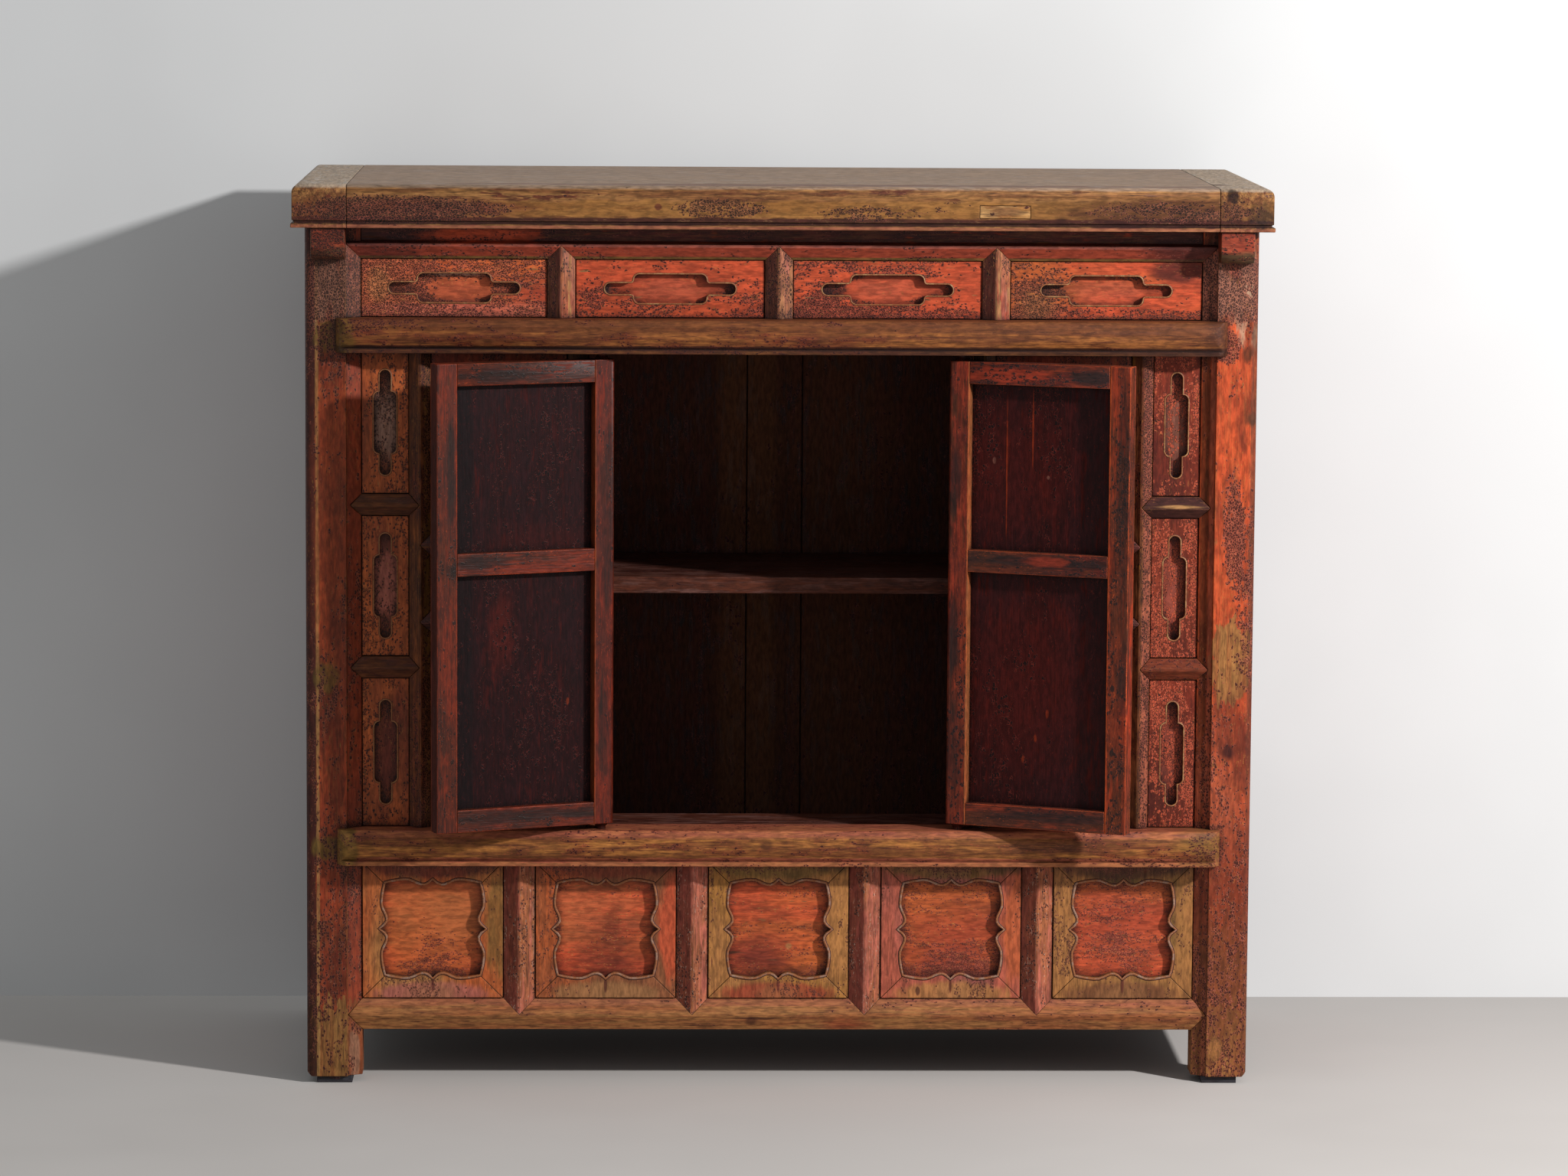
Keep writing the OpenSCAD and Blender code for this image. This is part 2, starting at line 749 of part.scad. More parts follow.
module column_stile(side) {
    color(ochre) placed() on_side(side) {
        difference() {
            ridge_post(stile_x, stile_w, sill_top, waist_z);
            for (z = column_z) side_notch(stile_x + stile_w / 2, z, stile_w, stile_w / 2, -1);
            for (z = bay_z) side_notch(stile_x - stile_w / 2, z, stile_w, stile_w / 2, 1);
        }
        stub(stile_x, waist_z, stile_w, 1);
        stub(stile_x, sill_top, stile_w, -1);
    }
}

module jamb(side) {
    color(ochre) placed() on_side(side) {
        difference() {
            translate([jamb_x, 0, sill_top]) linear_extrude(waist_z - sill_top)
                ridge_section(stile_w, [0, 1]);
            for (z = bay_z) side_notch(jamb_x + stile_w / 2, z, stile_w, stile_w / 2, -1);
        }
        stub(jamb_x, waist_z, stile_w, 1);
        stub(jamb_x, sill_top, stile_w, -1);
    }
}

// Lower and upper limits of the three openings that two cross rails leave
function tiers(z) = [[sill_top, z[0] - stile_w / 2], [z[0] + stile_w / 2, z[1] - stile_w / 2],
                     [z[1] + stile_w / 2, waist_z]];

module column_panels(side) {
    color(lacquer) placed() on_side(side) for (t = tiers(column_z))
        carved_panel(stile_x + stile_w / 2, inner_x, t[0], t[1])
            rotate(90) cartouche(column_cart_l, column_block_l, column_block_w);
}

module column_rails(side) {
    color(maroon) placed() on_side(side) for (z = column_z)
        ridge_bar(stile_x + stile_w / 2, inner_x, z, stile_w, stile_w / 2);
}

module bay_panels(side) {
    color(lacquer) placed() on_side(side) for (t = tiers(bay_z))
        carved_panel(jamb_x + stile_w / 2, stile_x - stile_w / 2, t[0], t[1]);
}

module bay_rails(side) {
    color(maroon) placed() on_side(side) for (z = bay_z)
        ridge_bar(jamb_x + stile_w / 2, stile_x - stile_w / 2, z, stile_w, stile_w / 2);
}

// Inward swell of a scalloped edge, from its cusp at u = 0 to its corner at u = 1
function swell(u, tip) = u < swell_at
    ? (scallop + tip) * pow(sin(90 * u / swell_at), 0.8) - tip
    : u < lobe_at
        ? scallop * (1 + cos(180 * (u - swell_at) / (lobe_at - swell_at))) / 2
        : corner_in * (1 - cos(90 * (u - lobe_at) / (1 - lobe_at)));

// Points of one scalloped edge, half as long as its opening is wide, at a distance from the middle
function scallop_edge(half, away, turn, tip) = [
    for (i = [-scallop_steps : scallop_steps - 1])
        let (s = i / scallop_steps * (half - corner_in),
             d = away - swell(abs(i) / scallop_steps, tip))
            [s * cos(turn) + d * sin(turn), s * sin(turn) - d * cos(turn)]
];

// Scalloped outline of a sunk field, a by b in half sizes
module scalloped(a, b) {
    polygon(concat(scallop_edge(a, b, 0, cusp_level), scallop_edge(b, a, 90, cusp_side),
                   scallop_edge(a, b, 180, cusp_level), scallop_edge(b, a, 270, cusp_side)));
}

// One quarter of a border, parted from the next along the mitres; way is its side in quarter turns
module mitre_quarter(a, b, way) {
    far = way % 2 == 0 ? b : a;
    near = way % 2 == 0 ? a : b;
    out = tongue_w + 1;
    cut = min(a, b) + out;
    g = mitre_gap / sqrt(2);
    rotate(90 * way) polygon([[-near - out + g, -far - out], [near + out - g, -far - out],
        [near + out - g - cut + 1, -far - out + cut - 1],
        [-near - out + g + cut - 1, -far - out + cut - 1]]);
}

// Mitred border planted on one lower field, four pieces round a scalloped opening
module lower_border(i) {
    x0 = lower_edges[i - 1] + bottom_rail_h / 2;
    x1 = lower_edges[i] - bottom_rail_h / 2;
    a = (x1 - x0) / 2;
    b = lower_panel_h / 2;
    lift = (border_foot - border_top) / 2;
    color(ochre) placed() for (way = [0 : 3]) plate(border_y, tongue_y - border_y - fit)
        difference() {
            intersection() {
                rect(x0 + panel_gap, x1 - panel_gap, bottom_top + panel_gap, sill_z - panel_gap);
                translate([(x0 + x1) / 2, bottom_top + b]) mitre_quarter(a, b, way);
            }
            translate([(x0 + x1) / 2, bottom_top + b + lift])
                scalloped(a - border_side, b - (border_foot + border_top) / 2);
        }
}

module lower_fields() {
    color(lacquer) placed() for (i = [1 : 5]) {
        x0 = lower_edges[i - 1] + bottom_rail_h / 2;
        x1 = lower_edges[i] - bottom_rail_h / 2;
        plate(tongue_y, tongue_t)
            rect(x0 - tongue_w, x1 + tongue_w, bottom_top - tongue_w, sill_z + tongue_w);
    }
}

module lower_muntins() {
    color(maroon) placed() for (x = lower_muntin_x) {
        ridge_post(x, bottom_rail_h, bottom_top, sill_z, bottom_rail_h / 2, 0);
        stub(x, sill_z, bottom_rail_h, 1);
        stub(x, bottom_top, bottom_rail_h, -1);
    }
}

// Heights and depths of a closed left door, whose outer face is to the front
door_z0 = sill_top + door_end_gap;
door_z1 = waist_z - door_end_gap;
door_y0 = pivot_y - door_t / 2;
door_y1 = pivot_y + door_t / 2;
door_panel_y = door_y1 - door_recess;
door_mid_z = door_z0 + door_rail + door_low_h;
door_tiers = [[door_z0, door_z0 + door_rail], [door_mid_z, door_mid_z + door_rail],
              [door_z1 - door_rail, door_z1]];

// Swings a closed left door to its open place; the right door is its mirror image
module hung(side) {
    placed() mirror([side > 0 ? 1 : 0, 0, 0]) translate([-pivot_x, pivot_y, 0])
        rotate([0, 0, -door_open]) translate([pivot_x, -pivot_y, 0]) children();
}

// Pivot pin on the end of the hinge stile, with the cone that leads to it
module pivot_pin(z, way) {
    translate([-pivot_x, pivot_y, z]) mirror([0, 0, way < 0 ? 1 : 0])
        rotate_extrude() polygon([[0, -1], [door_t / 2 - 1, -1], [door_t / 2 - 1, 0],
            [pin_r, cone_h], [pin_r, door_end_gap + pin_in - 1], [pin_r - 1, door_end_gap + pin_in],
            [0, door_end_gap + pin_in]]);
}

// Groove and mortises that a door's panels and rails need in its stiles
module door_joints(x0, x1) {
    block(x0, x1, door_panel_y - door_tongue_t - fit, door_panel_y + fit,
          door_z0 + door_rail - tongue_w - fit, door_z1 - door_rail + tongue_w + fit);
    for (t = door_tiers) block(x0 - tongue_w, x1 + tongue_w, pivot_y - stub_t / 2 - fit,
        pivot_y + stub_t / 2 + fit, t[0] + tenon_in - fit, t[1] - tenon_in + fit);
}

module door_hinge_stile(side) {
    color(maroon) hung(side) {
        difference() {
            translate([0, 0, door_z0]) linear_extrude(door_z1 - door_z0) difference() {
                rect(-hinge_edge, door_stile - hinge_edge, door_y0, door_y1);
                for (m = [0, 1]) translate([0, pivot_y]) mirror([0, m]) difference() {
                    rect(-hinge_edge - 1, door_round - hinge_edge,
                         door_t / 2 - door_round, door_t / 2 + 1);
                    translate([door_round - hinge_edge, door_t / 2 - door_round])
                        circle(door_round);
                }
            }
            door_joints(door_stile - hinge_edge - tongue_w - fit, door_stile - hinge_edge + 1);
        }
        pivot_pin(door_z1, 1);
        pivot_pin(door_z0, -1);
    }
}

module door_free_stile(side) {
    edge = -meeting_gap / 2 - door_stile;
    color(maroon) hung(side) difference() {
        block(edge, edge + door_stile, door_y0, door_y1, door_z0, door_z1);
        door_joints(edge - 1, edge + tongue_w + fit);
    }
}

module door_rails(side) {
    x0 = door_stile - hinge_edge;
    x1 = -meeting_gap / 2 - door_stile;
    color(lacquer) hung(side) for (t = door_tiers) difference() {
        union() {
            block(x0 + fit / 2, x1 - fit / 2, door_y0, door_y1, t[0], t[1]);
            block(x0 - 2 * tongue_w, x1 + 2 * tongue_w, pivot_y - stub_t / 2,
                  pivot_y + stub_t / 2, t[0] + tenon_in, t[1] - tenon_in);
        }
        for (z = [t[0], t[1]]) if (z > door_z0 && z < door_z1)
            block(x0 - 3 * tongue_w, x1 + 3 * tongue_w, door_panel_y - door_tongue_t - fit,
                  door_panel_y + fit, z - tongue_w - fit, z + tongue_w + fit);
    }
}

// Two panels that are flush with the door's outer face, each with a thin tongue all round
module door_panels(side) {
    x0 = door_stile - hinge_edge;
    x1 = -meeting_gap / 2 - door_stile;
    color(plum) hung(side) for (i = [0, 1]) {
        z0 = door_tiers[i][1];
        z1 = door_tiers[i + 1][0];
        block(x0 - tongue_w, x1 + tongue_w, door_panel_y - door_tongue_t, door_panel_y,
              z0 - tongue_w, z1 + tongue_w);
        block(x0 + panel_gap, x1 - panel_gap, door_y0, door_panel_y,
              z0 + panel_gap, z1 - panel_gap);
    }
}

// Lower edges and heights of the side rails, and of the back rails
side_rail_tiers = [[foot_gap, bottom_rail_h], [sill_z, sill_h],
                   [under_z - side_top_h, side_top_h]];
back_rail_tiers = [[foot_gap, bottom_rail_h], [under_z - side_top_h, side_top_h]];

module side_rails(side) {
    color(maroon) placed() on_side(side) for (r = side_rail_tiers) difference() {
        union() {
            block(side_in, side_out, leg_d + fit / 2, case_d - leg_d - fit / 2, r[0], r[0] + r[1]);
            block(side_mid - tenon_t / 2, side_mid + tenon_t / 2, leg_d - tenon_l,
                  case_d - leg_d + tenon_l, r[0] + tenon_in, r[0] + r[1] - tenon_in);
        }
        for (z = [r[0], r[0] + r[1]]) if (z > foot_gap && z < under_z)
            block(side_mid - side_panel_t / 2 - fit, side_mid + side_panel_t / 2 + fit,
                  0, case_d, z - tongue_w - fit, z + tongue_w + fit);
    }
}

module side_panels(side) {
    z = [[bottom_top, sill_z], [sill_top, under_z - side_top_h]];
    color(lacquer) placed() on_side(side) for (t = z)
        block(panel_in, panel_in + side_panel_t, leg_d - tongue_w, case_d - leg_d + tongue_w,
              t[0] - tongue_w, t[1] + tongue_w);
}

module back_rails() {
    y0 = back_mid - side_rail_t / 2;
    color(maroon) placed() for (r = back_rail_tiers) difference() {
        union() {
            block(fit / 2 - inner_x, inner_x - fit / 2, y0, y0 + side_rail_t, r[0], r[0] + r[1]);
            block(-inner_x - tenon_l, inner_x + tenon_l, back_mid - tenon_t / 2,
                  back_mid + tenon_t / 2, r[0] + tenon_in, r[0] + r[1] - tenon_in);
        }
        for (z = [r[0], r[0] + r[1]]) if (z > foot_gap && z < under_z)
            block(-outer_x, outer_x, back_mid - side_panel_t / 2 - fit,
                  back_mid + side_panel_t / 2 + fit, z - tongue_w - fit, z + tongue_w + fit);
    }
}

// Middle board of the back at its full height, or one of its joints with the boards beside it
module back_part(half, t) {
    block(back_mid_x - half, back_mid_x + half, back_mid - t / 2, back_mid + t / 2,
          bottom_top - tongue_w, under_z - side_top_h + tongue_w);
}

// Two wide boards grooved for the tongues of a narrow one between them
module back_boards() {
    edge = (back_mid_w + seam) / 2;
    color(plum) placed() {
        difference() {
            block(-inner_x - tongue_w, inner_x + tongue_w, back_mid - side_panel_t / 2,
                  back_mid + side_panel_t / 2, bottom_top - tongue_w,
                  under_z - side_top_h + tongue_w);
            back_part(edge, case_d);
            back_part(edge + tongue_w + fit, back_tongue + 2 * fit);
        }
        back_part(edge - seam, side_panel_t);
        back_part(edge + tongue_w, back_tongue);
    }
}

// Plan of a board that fits round the legs, from y0 to y1 and as wide as 2 * half
module round_legs(half, y0, y1) {
    difference() {
        rect(-half, half, y0, y1);
        for (s = [-1, 1]) for (y = [[-1, leg_d + fit], [case_d - leg_d - fit, case_d + 1]])
            mirror([s < 0 ? 1 : 0, 0]) rect(inner_x - fit, outer_x, y[0], y[1]);
    }
}

inside_back = back_mid - side_panel_t / 2 - fit;

module shelf() {
    color(plum) placed() translate([0, 0, shelf_z - shelf_t]) linear_extrude(shelf_t)
        round_legs(panel_in - fit, shelf_front, inside_back);
}

module shelf_bearers() {
    color(plum) placed() for (s = [-1, 1]) on_side(s)
        block(panel_in - fit - bearer, panel_in - fit, leg_d + fit, case_d - leg_d - fit,
              shelf_z - shelf_t - bearer, shelf_z - shelf_t);
}

module ledge() {
    color(ochre) placed() translate([0, 0, ledge_z - ledge_t]) linear_extrude(ledge_t)
        round_legs(side_in - fit, rail_back + fit, ledge_back);
}

module ledge_bearers() {
    color(plum) placed() for (s = [-1, 1]) on_side(s)
        block(side_in - fit - bearer, side_in - fit, leg_d + fit, ledge_back,
              ledge_z - ledge_t - bearer, ledge_z - ledge_t);
}

module bottom_boards() {
    color(plum) placed() translate([0, 0, bottom_top - bottom_t]) linear_extrude(bottom_t)
        round_legs(side_in - fit, rail_back + fit, back_mid - side_rail_t / 2 - fit);
}

module bottom_battens() {
    color(plum) placed() for (s = [-1, 1])
        block(s * inner_x / 2 - bearer, s * inner_x / 2 + bearer, rail_back + fit,
              back_mid - side_rail_t / 2 - fit, foot_gap + 2, bottom_top - bottom_t);
}

module leg_front(side) {
    color(lacquer) placed() on_side(side) front_leg();
}

module leg_back(side) {
    color(maroon) placed() on_side(side) translate([0, case_d, 0]) mirror([0, 1, 0]) back_leg();
}

top_board();
top_cleat(-1);  // top_cleat_left
top_cleat(1);  // top_cleat_right
top_patch();
leg_front(-1);  // leg_front_left
leg_front(1);  // leg_front_right
leg_back(-1);  // leg_back_left
leg_back(1);  // leg_back_right
foot_pads();
cap_block(-1);  // cap_block_left
cap_block(1);  // cap_block_right
top_rail();
waist_rail();
sill_rail();
bottom_rail();
upper_panel(1);  // upper_panel_1
upper_panel(2);  // upper_panel_2
upper_panel(3);  // upper_panel_3
upper_panel(4);  // upper_panel_4
upper_muntins();
column_stile(-1);  // column_stile_left
column_stile(1);  // column_stile_right
jamb(-1);  // jamb_left
jamb(1);  // jamb_right
column_panels(-1);  // column_panels_left
column_panels(1);  // column_panels_right
column_rails(-1);  // column_rails_left
column_rails(1);  // column_rails_right
bay_panels(-1);  // bay_panels_left
bay_panels(1);  // bay_panels_right
bay_rails(-1);  // bay_rails_left
bay_rails(1);  // bay_rails_right
lower_border(1);  // lower_border_1
lower_border(2);  // lower_border_2
lower_border(3);  // lower_border_3
lower_border(4);  // lower_border_4
lower_border(5);  // lower_border_5
lower_fields();
lower_muntins();
door_hinge_stile(-1);  // door_left_hinge_stile
door_free_stile(-1);  // door_left_free_stile
door_rails(-1);  // door_left_rails
door_panels(-1);  // door_left_panels
door_hinge_stile(1);  // door_right_hinge_stile
door_free_stile(1);  // door_right_free_stile
door_rails(1);  // door_right_rails
door_panels(1);  // door_right_panels
side_rails(-1);  // side_rails_left
side_rails(1);  // side_rails_right
side_panels(-1);  // side_panels_left
side_panels(1);  // side_panels_right
back_rails();
back_boards();
shelf();
shelf_bearers();
ledge();
ledge_bearers();
bottom_boards();
bottom_battens();
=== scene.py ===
"""Looks for the painted sideboard: worn lacquer over wood, fine trims, floor, light and camera.

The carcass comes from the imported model. This script softens its edges, paints every piece with a
layered finish of its own, adds the fine trims round the carvings, and sets up the room. Sizes in
finishes and trims are millimetres in the front's frame: x to the right, y back from the legs'
front faces, z up from the floor.
"""

import json
import logging
import math
from dataclasses import dataclass, replace
from enum import Enum

import bpy
import numpy as np
from mathutils import Matrix, Vector

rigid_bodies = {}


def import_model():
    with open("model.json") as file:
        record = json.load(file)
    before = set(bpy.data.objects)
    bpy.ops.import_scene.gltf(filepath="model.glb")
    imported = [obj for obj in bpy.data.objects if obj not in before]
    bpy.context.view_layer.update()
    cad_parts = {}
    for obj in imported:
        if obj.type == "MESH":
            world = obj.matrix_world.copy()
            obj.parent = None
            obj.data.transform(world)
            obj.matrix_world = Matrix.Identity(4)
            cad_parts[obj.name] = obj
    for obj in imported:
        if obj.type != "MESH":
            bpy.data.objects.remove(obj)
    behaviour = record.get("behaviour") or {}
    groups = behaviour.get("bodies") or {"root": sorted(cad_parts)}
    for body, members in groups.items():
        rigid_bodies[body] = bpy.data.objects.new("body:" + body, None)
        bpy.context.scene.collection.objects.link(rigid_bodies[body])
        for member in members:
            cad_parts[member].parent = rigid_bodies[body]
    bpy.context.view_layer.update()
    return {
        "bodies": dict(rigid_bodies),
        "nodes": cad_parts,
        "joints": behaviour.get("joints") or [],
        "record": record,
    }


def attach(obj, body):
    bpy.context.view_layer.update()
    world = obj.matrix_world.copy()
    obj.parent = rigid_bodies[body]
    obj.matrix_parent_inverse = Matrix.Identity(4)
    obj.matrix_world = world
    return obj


LOG = logging.getLogger("sideboard")

MM = 1000.0
"""Millimetres in a metre."""

MID_Y = 179.42091738475204
"""Millimetres from the legs' front faces to the middle of the whole piece."""

FAR = 9000.0
"""A half size that stands for everywhere."""

PIVOT_Y = 3.0
"""Depth of the doors' pivots."""

PANEL_Y = 15.0
"""Depth of the upper panels' and the columns' faces."""

CARVED = (23.5, 5.0)
"""Middle and half depth of a patch that lies only on the carvings' floors."""

EVEN = (1.0, 1.0, 1.0)
"""The squeeze of a pattern that has no grain."""

Socket = bpy.types.NodeSocket
Value = float | Socket


class Shade(Enum):
    """Colours of the paints, woods and soiling, and of painted shade and highlights, as sRGB bytes.
    """

    VERMILION = (196, 82, 48)
    BRIGHT = (204, 84, 50)
    ORANGE = (188, 94, 46)
    SALMON = (190, 98, 72)
    BRICK = (148, 60, 40)
    RUST = (122, 54, 34)
    ROSE = (166, 94, 80)
    MAROON = (88, 36, 30)
    WINE = (56, 23, 23)
    BLACK = (30, 17, 17)
    SOOT = (30, 26, 28)
    PLUM = (58, 32, 36)
    OCHRE = (176, 122, 66)
    GOLD = (168, 118, 52)
    OLIVE = (112, 88, 42)
    TAN = (158, 112, 68)
    STRAW = (190, 150, 100)
    BROWN = (110, 68, 42)
    UMBER = (76, 44, 30)
    GREYED = (160, 138, 124)
    PALE = (182, 164, 148)
    ASH = (132, 110, 98)
    HONEY = (150, 92, 56)
    INNER_SHADED = (84, 44, 34)
    INNER_DEEP_SHADE = (50, 24, 20)
    PAD = (70, 72, 78)

    def linear(self) -> tuple[float, float, float, float]:
        """Gives the colour in linear light, with an alpha of one."""
        parts = [c / 255.0 for c in self.value]
        return tuple(c / 12.92 if c <= 0.04045 else ((c + 0.055) / 1.055) ** 2.4
                     for c in parts) + (1.0,)


class Grain(Enum):
    """Which way the wood's fibres run; the value squeezes a pattern along them."""

    ALONG = (0.05, 1.0, 1.0)
    UPRIGHT = (1.0, 1.0, 0.05)
    DEEP = (1.0, 0.05, 1.0)

    def milder(self, power: float) -> tuple[float, ...]:
        """Gives a squeeze that follows the fibres less."""
        return tuple(s ** power for s in self.value)


class Layer(Enum):
    """What a patch does to the finish under it."""

    TINT = "tint"
    CRACKLE = "crackle"
    CLEAN = "clean"
    BARE = "bare"
    STAIN = "stain"
    LACQUER = "lacquer"

    def marks(self, *rows: tuple) -> tuple["Patch", ...]:
        """Makes patches of this layer.

        Args:
            *rows: The other fields of each patch in their order. Only a row of tint, stain or
                lacquer starts with a shade.

        Returns:
            The patches.
        """
        shade = () if self in (Layer.TINT, Layer.STAIN, Layer.LACQUER) else (None,)
        return tuple(Patch(self, *shade, *row) for row in rows)


@dataclass(frozen=True)
class Patch:
    """A ragged area of a finish.

    Attributes:
        layer: What it changes.
        shade: Colour that it brings, if its layer has one.
        x: Middle across the front.
        z: Middle height.
        wide: Half width.
        tall: Half height.
        power: How strongly, from 0 to 1.
        ragged: How far the surface's noise breaks its outline.
        soft: Half width of its edge, as a share of its size.
        y: Middle depth.
        deep: Half depth.
    """

    layer: Layer
    shade: Shade | None
    x: float
    z: float
    wide: float
    tall: float
    power: float = 0.8
    ragged: float = 0.9
    soft: float = 0.25
    y: float = 0.0
    deep: float = FAR


class Brush:
    """Writes one material's node graph; its fields are sockets that read object coordinates."""

    def __init__(self, name: str, pivot_x: float = 0.0, turn: float = 0.0) -> None:
        """Starts a material whose point field is in millimetres of the front's frame.

        Args:
            name: The material's name.
            pivot_x: Where a door's pivot stands across the front.
            turn: Degrees that bring an open door's pattern back to its closed place.
        """
        self.material = bpy.data.materials.new(name)
        self.material.use_nodes = True
        self.tree = self.material.node_tree
        self.tree.nodes.clear()
        place = self.node("ShaderNodeTexCoord").outputs["Object"]
        self.point = self.vector("MULTIPLY_ADD", place, (MM,) * 3, (0.0, MID_Y, 0.0))
        if turn:
            turned = self.node("ShaderNodeVectorRotate", self.point, (pivot_x, PIVOT_Y, 0.0),
                               None, math.radians(turn), rotation_type="Z_AXIS")
            self.point = turned.outputs[0]

    def node(self, kind: str, *feeds: object, **settings: object) -> bpy.types.Node:
        """Adds a node.

        Args:
            kind: The node's type.
            *feeds: What goes into its inputs in order; None leaves one alone.
            **settings: Attributes to set first.

        Returns:
            The node.
        """
        made = self.tree.nodes.new(kind)
        for key, setting in settings.items():
            setattr(made, key, setting)
        for socket, feed in zip(made.inputs, feeds):
            self.feed(socket, feed)
        return made

    def feed(self, socket: Socket, value: object) -> None:
        """Links a socket into an input, or sets the input to a plain value."""
        if isinstance(value, bpy.types.NodeSocket):
            self.tree.links.new(value, socket)
        elif value is not None:
            socket.default_value = value

    def vector(self, rule: str, *feeds: object) -> Socket:
        """Gives the result of a vector sum."""
        made = self.node("ShaderNodeVectorMath", *feeds, operation=rule)
        return made.outputs["Value" if rule in ("LENGTH", "DOT_PRODUCT") else "Vector"]

    def calc(self, rule: str, *feeds: Value) -> Socket:
        """Gives the result of a sum of numbers."""
        return self.node("ShaderNodeMath", *feeds, operation=rule).outputs[0]

    def times(self, first: Value, second: Value, extra: Value | None = None) -> Socket:
        """Gives the product of two numbers, plus a third if there is one."""
        if extra is None:
            return self.calc("MULTIPLY", first, second)
        return self.calc("MULTIPLY_ADD", first, second, extra)

    def ramp(self, value: Value, low: float, high: float, start: float = 0.0,
             end: float = 1.0) -> Socket:
        """Eases from start to end as the value goes from low to high."""
        return self.node("ShaderNodeMapRange", value, low, high, start, end,
                         interpolation_type="SMOOTHSTEP").outputs[0]

    def mix(self, share: Value, under: object, over: object) -> Socket:
        """Lays one colour over another by a share."""
        made = self.node("ShaderNodeMix", data_type="RGBA")
        self.feed(made.inputs["Factor"], share)
        for key, colour in (("A", under), ("B", over)):
            socket = next(s for s in made.inputs if s.name == key and s.type == "RGBA")
            self.feed(socket, colour.linear() if isinstance(colour, Shade) else colour)
        return next(s for s in made.outputs if s.type == "RGBA")

    def noise(self, size: float, squeeze: tuple = EVEN, seed: float = 0.0,
              detail: float = 2.0, warp: float = 0.0) -> Socket:
        """Gives cloudy noise of a size in millimetres, squeezed along the grain."""
        spot = self.vector("MULTIPLY_ADD", self.point, tuple(s / size for s in squeeze),
                           (seed * 7.31, seed * 3.7, seed * 5.13))
        return self.node("ShaderNodeTexNoise", spot, None, 1.0, detail, 0.55, 2.0, 0.0, 1.0,
                         warp).outputs[0]

    def cells(self, size: float, squeeze: tuple, seed: float) -> tuple[Socket, Socket]:
        """Gives craquelure islands: a random number for each, and the way to its edge.

        Args:
            size: Width of an island in millimetres.
            squeeze: How the islands are drawn out along the grain.
            seed: Moves the pattern.

        Returns:
            A random number for each island, and the distance to its edge.
        """
        spot = self.vector("MULTIPLY_ADD", self.point, tuple(s / size for s in squeeze),
                           (seed, seed * 1.7, seed * 2.3))
        wobble = self.node("ShaderNodeTexNoise", spot, None, 1.6, 1.0).outputs["Color"]
        spot = self.vector("MULTIPLY_ADD", wobble, (0.9,) * 3, spot)
        pick = self.node("ShaderNodeTexVoronoi", spot, None, 1.0, feature="F1")
        edge = self.node("ShaderNodeTexVoronoi", spot, None, 1.0, feature="DISTANCE_TO_EDGE")
        return self.vector("DOT_PRODUCT", pick.outputs["Color"], (0.5, 0.5, 0.0)), edge.outputs[0]

    def inside(self, patch: Patch, rough: Socket) -> Socket:
        """Gives a patch's share at each point: one inside its ellipse, none outside it."""
        sizes = (patch.wide, patch.deep, patch.tall)
        middle = (patch.x, patch.y, patch.z)
        spot = self.vector("MULTIPLY_ADD", self.point, tuple(1.0 / s for s in sizes),
                           tuple(-m / s for m, s in zip(middle, sizes)))
        away = self.times(rough, 2.0 * patch.ragged, self.vector("LENGTH", spot))
        return self.ramp(away, 1.0 + patch.soft, 1.0 - patch.soft, 0.0, patch.power)

    def bump(self, strength: float, depth: float, height: Socket,
             normal: Socket | None = None) -> Socket:
        """Gives a normal that is bent by a height, over a depth in metres."""
        relief = self.node("ShaderNodeBump", strength, depth)
        self.feed(relief.inputs["Height"], height)
        self.feed(relief.inputs["Normal"], normal)
        return relief.outputs[0]

    def close(self, surface: Socket) -> bpy.types.Material:
        """Ends the graph with a surface, and gives the material."""
        out = self.tree.nodes.new("ShaderNodeOutputMaterial")
        self.feed(out.inputs["Surface"], surface)
        return self.material

    def gloss(self, colour: Socket, rough: Socket, shine: float,
              normal: Socket) -> bpy.types.Material:
        """Ends the graph with a glossy surface, and gives the material."""
        shader = self.tree.nodes.new("ShaderNodeBsdfPrincipled")
        for key, value in (("Base Color", colour), ("Roughness", rough),
                           ("Specular IOR Level", shine), ("Normal", normal)):
            self.feed(shader.inputs[key], value)
        return self.close(shader.outputs[0])


